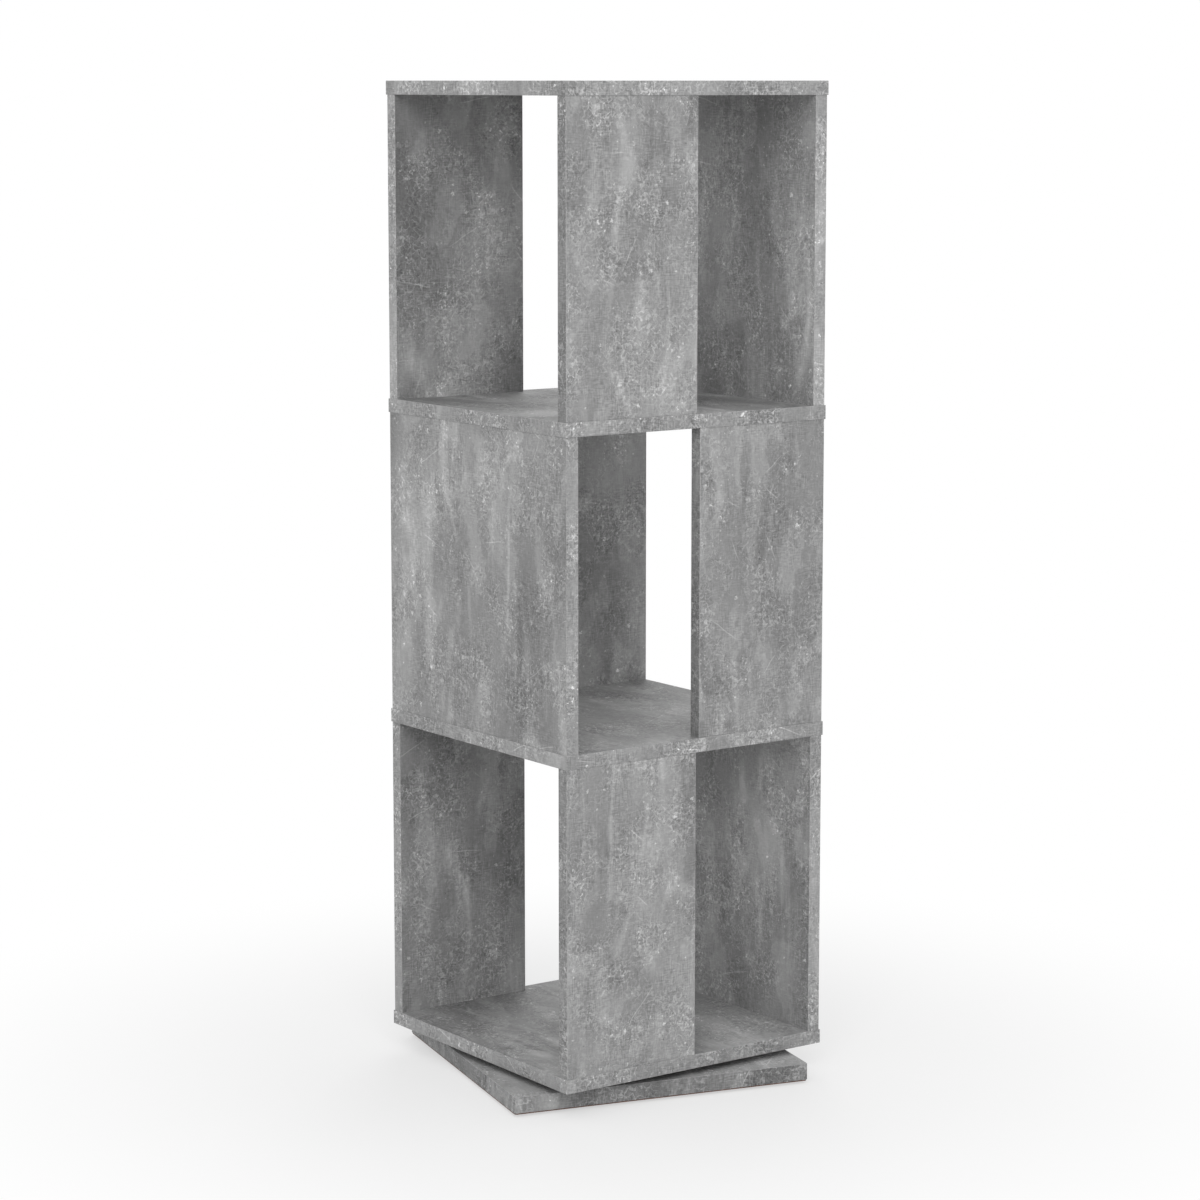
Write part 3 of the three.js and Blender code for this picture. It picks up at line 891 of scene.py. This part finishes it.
def ring_piece(name, profile, screws):
    """A pressed ring with a hole for each of its screws."""
    shape = bmesh.new()
    add_pressed_ring(shape, profile)
    holes = []
    for screw in screws:
        spot = middle_of(screw)
        holes.append(hole_through(spot, SCREW_HOLE_RADIUS, turntable_bottom, turntable_top))
    mesh = drilled(mesh_of(shape, name, plated_steel), [holes], 0)
    smooth(mesh, RING_SMOOTH_DEG)
    piece = piece_of(mesh, f"{name}_steel")
    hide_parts(name)
    return piece


rim_underside = turntable_bottom + RUNNING_GAP + HOOK_THICKNESS + RUNNING_GAP
lower_lip = ball_height - race_lip
lower_ring = ring_piece("turntable_lower_ring", [
    (LOWER_INNER_RADIUS, turntable_bottom),
    (LOWER_BODY_RADIUS, turntable_bottom),
    (LOWER_BODY_RADIUS, rim_underside),
    (LOWER_RIM_RADIUS, rim_underside),
    (LOWER_RIM_RADIUS, lower_lip),
    *race(-RACE_LIP_DEG, RACE_LIP_DEG - 180),
    (LOWER_STEP_RADIUS, lower_lip),
    (LOWER_STEP_RADIUS, turntable_bottom + RING_SHEET),
    (LOWER_INNER_RADIUS, turntable_bottom + RING_SHEET),
], screws_of("lower"))
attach(lower_ring, "base")

hook_bottom = turntable_bottom + RUNNING_GAP
hook_radius = LOWER_BODY_RADIUS + RUNNING_GAP
skirt_radius = LOWER_RIM_RADIUS + RUNNING_GAP
upper_lip = ball_height + race_lip
upper_ring = ring_piece("turntable_upper_ring", [
    (hook_radius, hook_bottom),
    (skirt_radius + SKIRT_THICKNESS, hook_bottom),
    (skirt_radius + SKIRT_THICKNESS, turntable_top - RING_SHEET),
    (UPPER_OUTER_RADIUS, turntable_top - RING_SHEET),
    (UPPER_OUTER_RADIUS, turntable_top),
    (UPPER_INNER_RADIUS, turntable_top),
    (UPPER_INNER_RADIUS, upper_lip),
    *race(180 - RACE_LIP_DEG, RACE_LIP_DEG),
    (skirt_radius, upper_lip),
    (skirt_radius, hook_bottom + HOOK_THICKNESS),
    (hook_radius, hook_bottom + HOOK_THICKNESS),
], screws_of("upper"))
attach(upper_ring, "tower")


# Ball ring: sixteen hardened steel balls, kept apart by the round pockets of a flat brass cage.
# It rolls between the two rings at half the tower's speed.
CAGE_THICKNESS = 0.0012
CAGE_WIDTH = 0.008
POCKET_CLEARANCE = 0.00015
BALL_STEPS = 16
BALL_SMOOTH_DEG = 40
BRASS_PALE = (0.66, 0.50, 0.26, 1)
BRASS_DULL = (0.38, 0.27, 0.13, 1)
BRASS_ROUGHNESS = 0.34
HARD_STEEL_PALE = (0.74, 0.74, 0.75, 1)
HARD_STEEL_DULL = (0.60, 0.60, 0.61, 1)
HARD_STEEL_ROUGHNESS = 0.12

ball_look = (HARD_STEEL_PALE, HARD_STEEL_DULL, HARD_STEEL_ROUGHNESS)
ball_steel = node_material("ball_steel", metal_surface, *ball_look)
cage_brass = node_material("cage_brass", metal_surface, BRASS_PALE, BRASS_DULL, BRASS_ROUGHNESS)

cage_inner = BALL_CIRCLE_RADIUS - CAGE_WIDTH / 2
cage_bottom = ball_height - CAGE_THICKNESS / 2
cage_top = cage_bottom + CAGE_THICKNESS
cage_shape = bmesh.new()
cage_profile = rectangle(cage_inner, cage_bottom, cage_inner + CAGE_WIDTH, cage_top)
add_pressed_ring(cage_shape, cage_profile)
ball_spots = circle(BALL_CIRCLE_RADIUS, BALL_COUNT, ball_height)
pocket_radius = BALL_RADIUS + POCKET_CLEARANCE
pockets = [hole_through(spot, pocket_radius, cage_bottom, cage_top) for spot in ball_spots]
cage_mesh = drilled(mesh_of(cage_shape, "cage", cage_brass, ball_steel), [pockets], 0)

ball_ring_shape = bmesh.new()
ball_ring_shape.from_mesh(cage_mesh)
ball_profile = []
for step in range(BALL_STEPS + 1):
    angle = math.pi * (step / BALL_STEPS - 1 / 2)
    radius = BALL_RADIUS * math.cos(angle) if 0 < step < BALL_STEPS else 0
    ball_profile.append((radius, BALL_RADIUS * math.sin(angle)))
for spot in ball_spots:
    add_turned(ball_ring_shape, ball_profile, material=1, steps=2 * BALL_STEPS, centre=spot)
ball_ring_mesh = mesh_of(ball_ring_shape, "ball_ring", cage_brass, ball_steel)
smooth(ball_ring_mesh, BALL_SMOOTH_DEG)
ball_ring = piece_of(ball_ring_mesh, "ball_ring_steel")
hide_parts("turntable_ball_ring")
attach(ball_ring, "ball_ring")


# Turntable screws: short plated wood screws with a domed head and a cross recess. Four go down
# into the base plate, and four go up into the bottom plate of the tower.
SCREW_CORE_RADIUS = 0.0012
SCREW_THREAD_RADIUS = 0.0016
SCREW_PITCH = 0.0013
SCREW_LENGTH = 0.012
SCREW_POINT = 0.003
SCREW_NECK = 0.0008
SCREW_HEAD_RADIUS = 0.0034
SCREW_HEAD_HEIGHT = 0.0018
SCREW_HEAD_EDGE = 0.0006
SCREW_ROUGHNESS = 0.24
SCREW_SMOOTH_DEG = 38
SCREW_STEPS = 24
ROWS_PER_TURN = 6
THREAD_SHARPNESS = 4
DOME_SHARES = ((0.88, 0.68), (0.62, 0.92), (0.3, 1))
RECESS_REACH = 0.0017
RECESS_HALF_WIDTH = 0.00045
RECESS_DEPTH = 0.0013
RECESS_TAPER_SHARE = 0.6

screw_steel = node_material("screw_steel", metal_surface, STEEL_PALE, STEEL_DULL, SCREW_ROUGHNESS)


def cross_cutter(reach, half_width, bottom, top):
    """A cutter for a cross recess, which narrows towards its bottom."""
    arm = ((reach, -half_width), (reach, half_width), (half_width, half_width))
    corners = []
    for quarter in range(4):
        turn = Matrix.Rotation(math.pi / 2 * quarter, 2)
        corners += [turn @ Vector(spot) for spot in arm]
    bottom_ring = [(RECESS_TAPER_SHARE * x, RECESS_TAPER_SHARE * y, bottom) for x, y in corners]
    shape = bmesh.new()
    add_skin(shape, [bottom_ring, [(x, y, top) for x, y in corners]])
    return shape


def screw_row(height):
    """Points round the shank at a height below the head, where the thread winds up it."""
    taper = min(1, (SCREW_LENGTH + height) / SCREW_POINT)
    depth = (SCREW_THREAD_RADIUS - SCREW_CORE_RADIUS) * (height < -SCREW_NECK)
    row = []
    for step in range(SCREW_STEPS):
        phase = (height / SCREW_PITCH - step / SCREW_STEPS) % 1
        ridge = max(0, 1 - abs(phase - 0.5) * THREAD_SHARPNESS)
        radius = taper * (SCREW_CORE_RADIUS + depth * ridge)
        angle = 2 * math.pi * step / SCREW_STEPS
        row.append((radius * math.cos(angle), radius * math.sin(angle), height))
    return row


row_gap = SCREW_PITCH / ROWS_PER_TURN
row_count = int(SCREW_LENGTH / row_gap)
head_profile = [(SCREW_HEAD_RADIUS, 0), (SCREW_HEAD_RADIUS, SCREW_HEAD_EDGE)]
for radius_share, height_share in DOME_SHARES:
    head_profile.append((SCREW_HEAD_RADIUS * radius_share, SCREW_HEAD_HEIGHT * height_share))
screw_rings = [[(0, 0, -SCREW_LENGTH)]]
screw_rings += [screw_row(row_gap * (row - row_count)) for row in range(1, row_count + 1)]
screw_rings += [circle(radius, SCREW_STEPS, height) for radius, height in head_profile]
screw_rings.append([(0, 0, SCREW_HEAD_HEIGHT)])
screw_shape = bmesh.new()
add_skin(screw_shape, screw_rings)
recess_heights = (SCREW_HEAD_HEIGHT - RECESS_DEPTH, SCREW_HEAD_HEIGHT + CUT_OVERRUN)
recess = cross_cutter(RECESS_REACH, RECESS_HALF_WIDTH, *recess_heights)
screw_mesh = cut_out(mesh_of(screw_shape, "wood_screw", screw_steel), [recess])
smooth(screw_mesh, SCREW_SMOOTH_DEG)

for lower_screw, upper_screw in zip(screws_of("lower"), screws_of("upper")):
    for node, body, upside_down in ((lower_screw, "base", False), (upper_screw, "tower", True)):
        spot = middle_of(node)
        seat = turntable_top - RING_SHEET if upside_down else turntable_bottom + RING_SHEET
        placing = Matrix.Translation((spot.x, spot.y, seat))
        placing @= Matrix.Rotation(math.pi * upside_down, 4, "X")
        screw = piece_of(screw_mesh, f"{node}_steel", placing)
        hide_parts(node)
        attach(screw, body)


# Plates: the bottom, the two shelves and the top, square 15 mm boards with a strip of edging on
# all four sides. They are drilled for the bolts and dowels of the panels above and below.
BOLT_HOLE_RADIUS = 0.0028
DOWEL_RADIUS = 0.004
DOWEL_ROOT = 0.020
DOWEL_REACH = 0.0097
FITTING_INSET = 0.037
FITTING_PITCH = 0.032
BAYS = {
    "bottom": ("bottom_plate", "lower_shelf"),
    "middle": ("lower_shelf", "upper_shelf"),
    "top": ("upper_shelf", "top_plate"),
}
PANEL_KINDS = ("full_panel", "front_half_panel", "back_half_panel")

# Where each plate is cut from the printed sheet.
PLATE_SHEETS = {
    "bottom_plate": (4.10, 1.30),
    "lower_shelf": (6.35, 2.45),
    "upper_shelf": (8.85, 0.35),
    "top_plate": (11.20, 3.10),
}

plate_edging = node_material("plate_edging", concrete_surface, EDGING_TONE, *EDGING_SHARES)


def along_axis(axis, length):
    """A vector of that length along X, Y or Z."""
    vector = Vector((0, 0, 0))
    vector[axis] = length
    return vector


# The panels come first, because their bolts and dowels say where the plates are drilled. Each
# dowel is its spot on the end of a panel, and 1 at the upper end or -1 at the lower one.
panels = {}
for bay, (plate_below, plate_above) in BAYS.items():
    bay_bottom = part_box(plate_below)[1].z
    bay_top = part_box(plate_above)[0].z
    for kind in PANEL_KINDS:
        name = f"{bay}_{kind}"
        low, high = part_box(name)
        low.z, high.z = bay_bottom, bay_top
        middle = (low + high) / 2
        spans = high - low
        thickness_axis = 0 if spans.x < spans.y else 1
        width_axis = 1 - thickness_axis
        dowel_place = spans[width_axis] / 2 - FITTING_INSET
        if kind == "full_panel":
            dowel_place -= FITTING_PITCH
        panel_dowels = []
        for side in (-1, 1):
            for end, height in ((-1, bay_bottom), (1, bay_top)):
                spot = middle + along_axis(width_axis, side * dowel_place)
                spot.z = height
                panel_dowels.append((spot, end))
        cams = [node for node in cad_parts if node.startswith(name) and "_cam" in node]
        panels[name] = {
            "low": low,
            "high": high,
            "middle": middle,
            "thickness_axis": thickness_axis,
            "width_axis": width_axis,
            "half_board": spans[thickness_axis] / 2,
            "inward": along_axis(thickness_axis, -math.copysign(1, middle[thickness_axis])),
            "dowels": panel_dowels,
            "cams": sorted(cams),
        }


def holes_into(plate_low, plate_high):
    """The holes that the panels' bolts and dowels need in a plate between two heights."""
    holes = []
    for panel in panels.values():
        for spot, end in panel["dowels"]:
            face = plate_low if end > 0 else plate_high
            if abs(spot.z - face) < CUT_OVERRUN:
                hole_end = face + end * (DOWEL_REACH + FIT_GAP)
                holes.append(upright_hole(spot, DOWEL_RADIUS + FIT_GAP, face, hole_end))
        for cam in panel["cams"]:
            low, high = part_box(cam)
            spot = middle_of(cam)
            if low.z < plate_low < high.z < plate_high:
                holes.append(upright_hole(spot, BOLT_HOLE_RADIUS, plate_low, high.z + FIT_GAP))
            if plate_low < low.z < plate_high < high.z:
                holes.append(upright_hole(spot, BOLT_HOLE_RADIUS, plate_high, low.z - FIT_GAP))
    return holes


def add_edging(shape, start, end, outward, width):
    """A straight strip whose outer face has its middle line from start to end."""
    across = (end - start).normalized().cross(outward)
    section, finishes = edging_section(width)
    rings = []
    for point in (start, end):
        rings.append([point + outward * out + across * side for out, side in section])
    add_skin(shape, rings, finishes=finishes)


def edging_mesh_of(shape, name, strip_finish, sheet_start):
    """The finished strips of a board, cut from the sheet beside the board's own faces."""
    mesh = mesh_of(shape, f"{name}_edging", strip_finish, worn_arris)
    smooth(mesh, EDGING_SMOOTH_DEG)
    lay_decor(mesh, (sheet_start[0] + SHEET_PITCH / 2, sheet_start[1] + SHEET_PITCH))
    return mesh


for plate_name, sheet_start in PLATE_SHEETS.items():
    low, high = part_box(plate_name)
    holes = holes_into(low.z, high.z)
    if plate_name == "bottom_plate":
        for screw in screws_of("upper"):
            screw_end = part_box(screw)[1].z + FIT_GAP
            holes.append(upright_hole(middle_of(screw), SCREW_HOLE_RADIUS, low.z, screw_end))
    skin = EDGING_THICKNESS
    outline = rectangle(low.x + skin, low.y + skin, high.x - skin, high.y - skin)
    mesh = board_mesh(plate_name, outline, low.z, high.z, 2, [holes], sheet_start)
    plate = piece_of(mesh, f"{plate_name}_board")
    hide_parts(plate_name)
    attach(plate, "tower")

    spans = high - low
    edging_shape = bmesh.new()
    for side in (-1, 1):
        for axis in (0, 1):
            outward = along_axis(axis, side)
            end_gap = skin if axis == 0 else 0
            along = along_axis(1 - axis, spans[1 - axis] / 2 - end_gap)
            face_middle = middle_of(plate_name) + outward * spans[axis] / 2
            line = (face_middle - along, face_middle + along)
            add_edging(edging_shape, *line, outward, spans.z)
    mesh = edging_mesh_of(edging_shape, plate_name, plate_edging, sheet_start)
    edging = piece_of(mesh, f"{plate_name}_edging")
    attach(edging, "tower")


# Panels: upright 15 mm boards, one full and two half ones in each bay, with edging on their two
# upright edges. Their ends are raw where they meet the plates, and hold the bolts and dowels.
CAM_POCKET_RADIUS = 0.0078
CAM_POCKET_FLOOR = 0.0027
BOLT_BORE_RADIUS = 0.004
GLUE_GAP = 0.00005
# The panels' edging print comes in two tones: darker on the front half panels, as painted shade,
# and lighter on the others, as painted light.
LIT_EDGING_TONE = 0.61
SHADED_EDGING_TONE = 0.53

# Where each panel is cut from the printed sheet.
PANEL_SHEETS = {
    "bottom_full_panel": (14.10, 2.20),
    "bottom_front_half_panel": (12.87, 4.45),
    "bottom_back_half_panel": (18.60, 3.25),
    "middle_full_panel": (9.41, 13.23),
    "middle_front_half_panel": (9.60, 1.16),
    "middle_back_half_panel": (25.35, 1.60),
    "top_full_panel": (27.60, 3.80),
    "top_front_half_panel": (12.82, 10.79),
    "top_back_half_panel": (32.10, 2.05),
}

lit_edging = node_material("lit_edging", concrete_surface, LIT_EDGING_TONE, *EDGING_SHARES)
shaded_edging = node_material("shaded_edging", concrete_surface, SHADED_EDGING_TONE, *EDGING_SHARES)


def bolt_points_up(cam):
    return "_upper_" in cam


def cam_place(cam, panel):
    """The middle of a cam, at half the thickness of its panel."""
    low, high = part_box(cam)
    radius = (high - low)[panel["width_axis"]] / 2
    axis = panel["thickness_axis"]
    spot = middle_of(cam)
    spot[axis] = panel["middle"][axis]
    spot.z = low.z + radius if bolt_points_up(cam) else high.z - radius
    return spot


for panel_name, panel in panels.items():
    low, high, half_board = panel["low"], panel["high"], panel["half_board"]
    inward, width_axis = panel["inward"], panel["width_axis"]
    pockets = []
    bores = []
    for cam in panel["cams"]:
        spot = cam_place(cam, panel)
        pocket_floor = spot - inward * (half_board - CAM_POCKET_FLOOR)
        pocket_mouth = spot + inward * (half_board + CUT_OVERRUN)
        pockets.append((CAM_POCKET_RADIUS, pocket_floor, pocket_mouth))
        bore_mouth = high.z if bolt_points_up(cam) else low.z
        bores.append(upright_hole(spot, BOLT_BORE_RADIUS, bore_mouth, spot.z))
    for spot, end in panel["dowels"]:
        bore_end = spot.z - end * (DOWEL_ROOT + GLUE_GAP)
        bores.append(upright_hole(spot, DOWEL_RADIUS + GLUE_GAP, spot.z, bore_end))

    sheet_start = PANEL_SHEETS[panel_name]
    edging_shape = bmesh.new()
    for side in (-1, 1):
        outward = along_axis(width_axis, side)
        foot = panel["middle"] + outward * (high - low)[width_axis] / 2
        head = foot.copy()
        foot.z, head.z = low.z, high.z
        add_edging(edging_shape, foot, head, outward, 2 * half_board)
    # Painted shade: the front half panels get the darker edging. Painted light: the other panels
    # get the lighter edging.
    strip_finish = shaded_edging if "front" in panel_name else lit_edging
    mesh = edging_mesh_of(edging_shape, panel_name, strip_finish, sheet_start)
    edging = piece_of(mesh, f"{panel_name}_edging")
    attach(edging, "tower")

    skin = along_axis(width_axis, EDGING_THICKNESS)
    core_low, core_high = low + skin, high - skin
    outline = rectangle(core_low.x, core_low.y, core_high.x, core_high.y)
    mesh = board_mesh(
        panel_name, outline, low.z, high.z, panel["thickness_axis"], [pockets, bores], sheet_start
    )
    board = piece_of(mesh, f"{panel_name}_board")
    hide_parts(panel_name)
    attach(board, "tower")


# Dowels: fluted beech pegs with bevelled ends, two in each end of a panel. They are glued into
# the panel and plug into the plate, so that the boards can't slide on each other.
FLUTE_COUNT = 16
FLUTE_DEPTH = 0.0002
DOWEL_BEVEL = 0.0008
BEECH_PALE = (0.60, 0.41, 0.25, 1)
BEECH_DARK = (0.40, 0.24, 0.13, 1)
BEECH_STRETCH = (1, 1, 0.06)
BEECH_LINE_GRAIN = (0.0007, 0.0007, 3, 3)
DARK_LINE_LEVELS = (0.3, 0.7)
BEECH_FLECK_PLACES = (0.0003, 0.0003, 2, 7, 0.6, 0.7)
BEECH_FLECK_SHARE = 0.5
BEECH_ROUGHNESS = 0.6
LINE_ROUGHNESS = 0.2
BEECH_RELIEF = (0.3, 0.0001)


def beech_surface(start):
    """Beech with fine lines along the peg and short dark flecks."""
    stretched = place_in_space(start).vector("MULTIPLY", BEECH_STRETCH)
    lines = grain_noise(stretched, *BEECH_LINE_GRAIN)
    short_flecks = patches(stretched, *BEECH_FLECK_PLACES)
    darkness = lines.rise(*DARK_LINE_LEVELS) + BEECH_FLECK_SHARE * short_flecks
    roughness = BEECH_ROUGHNESS + LINE_ROUGHNESS * lines
    relief = lines.bump(*BEECH_RELIEF)
    return finish(start, darkness.blend(BEECH_PALE, BEECH_DARK), roughness, relief)


beech = node_material("beech", beech_surface)


def flute_ring(height, inset, centre):
    """Points round a dowel at a height, in by the depth of a flute at every other one."""
    ring = []
    for step in range(2 * FLUTE_COUNT):
        angle = math.pi * step / FLUTE_COUNT
        radius = DOWEL_RADIUS - inset - FLUTE_DEPTH * (step % 2)
        ring.append(centre + Vector((radius * math.cos(angle), radius * math.sin(angle), height)))
    return ring


for panel_name, panel in panels.items():
    shape = bmesh.new()
    for spot, end in panel["dowels"]:
        low, high = sorted((-end * DOWEL_ROOT, end * DOWEL_REACH))
        profile = [
            (low, DOWEL_BEVEL),
            (low + DOWEL_BEVEL, 0),
            (high - DOWEL_BEVEL, 0),
            (high, DOWEL_BEVEL),
        ]
        add_skin(shape, [flute_ring(height, inset, spot) for height, inset in profile])
    dowel_set = piece_of(mesh_of(shape, f"{panel_name}_dowels", beech), f"{panel_name}_dowels")
    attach(dowel_set, "tower")


# Cam fittings: a zinc drum in a pocket on the inner face of a panel, turned with a screwdriver
# to pull on a steel bolt that is screwed into the plate. Each one is a drum with its bolt.
CAM_RADIUS = 0.0075
CAM_WALL = 0.0011
CAM_DEPTH = 0.0120
CAM_FACE_SINK = 0.0003
CAM_BEVEL = 0.0003
CAM_RIM_DEPTH = 0.0006
CAM_RECESS_REACH = 0.0042
CAM_RECESS_HALF_WIDTH = 0.0010
CAM_RECESS_DEPTH = 0.0024
CAM_SMOOTH_DEG = 35
BOLT_START = 0.0030
BOLT_RADIUS = 0.0025
BOLT_NECK_RADIUS = 0.0019
BOLT_HEAD_LENGTH = 0.0030
BOLT_HEAD_CROWN = 0.00005
BOLT_COLLAR_BEYOND_DRUM = 0.0030
BOLT_THREAD_BEYOND_DRUM = 0.0090
BOLT_THREAD_DEPTH = 0.0005
BOLT_STEPS = 24
ZINC_PALE = (0.56, 0.57, 0.58, 1)
ZINC_DULL = (0.36, 0.37, 0.37, 1)
ZINC_ROUGHNESS = 0.42

die_cast_zinc = node_material("die_cast_zinc", metal_surface, ZINC_PALE, ZINC_DULL, ZINC_ROUGHNESS)

# All the fittings are alike, so one of them says where every drum and bolt starts and ends.
sample_panel = panels["top_full_panel"]
sample_cam = sample_panel["cams"][0]
sample_low, sample_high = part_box(sample_cam)
sample_height = cam_place(sample_cam, sample_panel).z
bolt_reach = max(sample_high.z - sample_height, sample_height - sample_low.z)
drum_top = sample_panel["half_board"] - CAM_FACE_SINK
drum_bottom = sample_panel["half_board"] - CAM_DEPTH
drum_floor = drum_top - CAM_RIM_DEPTH
drum_shape = bmesh.new()
add_turned(drum_shape, [
    (0, drum_bottom),
    (CAM_RADIUS - CAM_BEVEL, drum_bottom),
    (CAM_RADIUS, drum_bottom + CAM_BEVEL),
    (CAM_RADIUS, drum_top - CAM_BEVEL),
    (CAM_RADIUS - CAM_BEVEL, drum_top),
    (CAM_RADIUS - CAM_WALL, drum_top),
    (CAM_RADIUS - CAM_WALL, drum_floor),
    (0, drum_floor),
])
bolt_bore = bmesh.new()
bore_end = (0, -CAM_RADIUS - CUT_OVERRUN, 0)
add_rod(bolt_bore, BOLT_RADIUS + FIT_GAP, (0, -BOLT_START, 0), bore_end)
recess_heights = (drum_floor - CAM_RECESS_DEPTH, drum_top + CUT_OVERRUN)
cam_recess = cross_cutter(CAM_RECESS_REACH, CAM_RECESS_HALF_WIDTH, *recess_heights)
drum_mesh = mesh_of(drum_shape, "cam_drum", die_cast_zinc, screw_steel)
drum_mesh = cut_out(drum_mesh, [cam_recess, bolt_bore])

bolt_head_end = BOLT_START + BOLT_HEAD_LENGTH
collar_start = CAM_RADIUS + BOLT_COLLAR_BEYOND_DRUM
thread_start = CAM_RADIUS + BOLT_THREAD_BEYOND_DRUM
bolt_profile = [
    (0, BOLT_START),
    (BOLT_RADIUS, BOLT_START + BOLT_HEAD_CROWN),
    (BOLT_RADIUS, bolt_head_end),
    (BOLT_NECK_RADIUS, bolt_head_end),
    (BOLT_NECK_RADIUS, collar_start),
    (BOLT_RADIUS, collar_start),
]
for turn in range(int((bolt_reach - thread_start) / SCREW_PITCH)):
    ridge = thread_start + turn * SCREW_PITCH
    bolt_profile.append((BOLT_RADIUS, ridge))
    bolt_profile.append((BOLT_RADIUS - BOLT_THREAD_DEPTH, ridge + SCREW_PITCH / 2))
bolt_profile += [(BOLT_NECK_RADIUS, bolt_reach), (0, bolt_reach)]

cam_shape = bmesh.new()
cam_shape.from_mesh(drum_mesh)
cam_shape.transform(Matrix.Rotation(-math.pi / 2, 4, "X"))
add_turned(cam_shape, bolt_profile, material=1, steps=BOLT_STEPS)
cam_mesh = mesh_of(cam_shape, "cam_fitting", die_cast_zinc, screw_steel)
smooth(cam_mesh, CAM_SMOOTH_DEG)

for panel in panels.values():
    for cam in panel["cams"]:
        up = Vector((0, 0, 1 if bolt_points_up(cam) else -1))
        inward = panel["inward"]
        turn = Matrix((inward.cross(up), inward, up)).transposed().to_4x4()
        placing = Matrix.Translation(cam_place(cam, panel)) @ turn
        fitting = piece_of(cam_mesh, f"{cam}_fitting", placing)
        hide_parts(cam)
        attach(fitting, "tower")


# Cover foils: thin round stickers with the panels' own decor, pressed over the cams. Their print
# follows the panel, so only a faint round edge tells where a cam is.
FOIL_RADIUS = 0.0095
FOIL_THICKNESS = 0.0003

foil_rings = [
    circle(FOIL_RADIUS, TURNED_STEPS),
    circle(FOIL_RADIUS, TURNED_STEPS, FOIL_THICKNESS / 2),
    circle(FOIL_RADIUS - FOIL_THICKNESS, TURNED_STEPS, FOIL_THICKNESS),
]
for panel_name, panel in panels.items():
    shape = bmesh.new()
    inward = panel["inward"]
    turn = inward.to_track_quat("Z", "Y")
    for cam in panel["cams"]:
        centre = cam_place(cam, panel) + inward * panel["half_board"]
        add_skin(shape, [[centre + turn @ spot for spot in ring] for ring in foil_rings])
    mesh = mesh_of(shape, f"{panel_name}_cover_foils", concrete_face)
    lay_decor(mesh, PANEL_SHEETS[panel_name])
    foils = piece_of(mesh, f"{panel_name}_cover_foils")
    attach(foils, "tower")
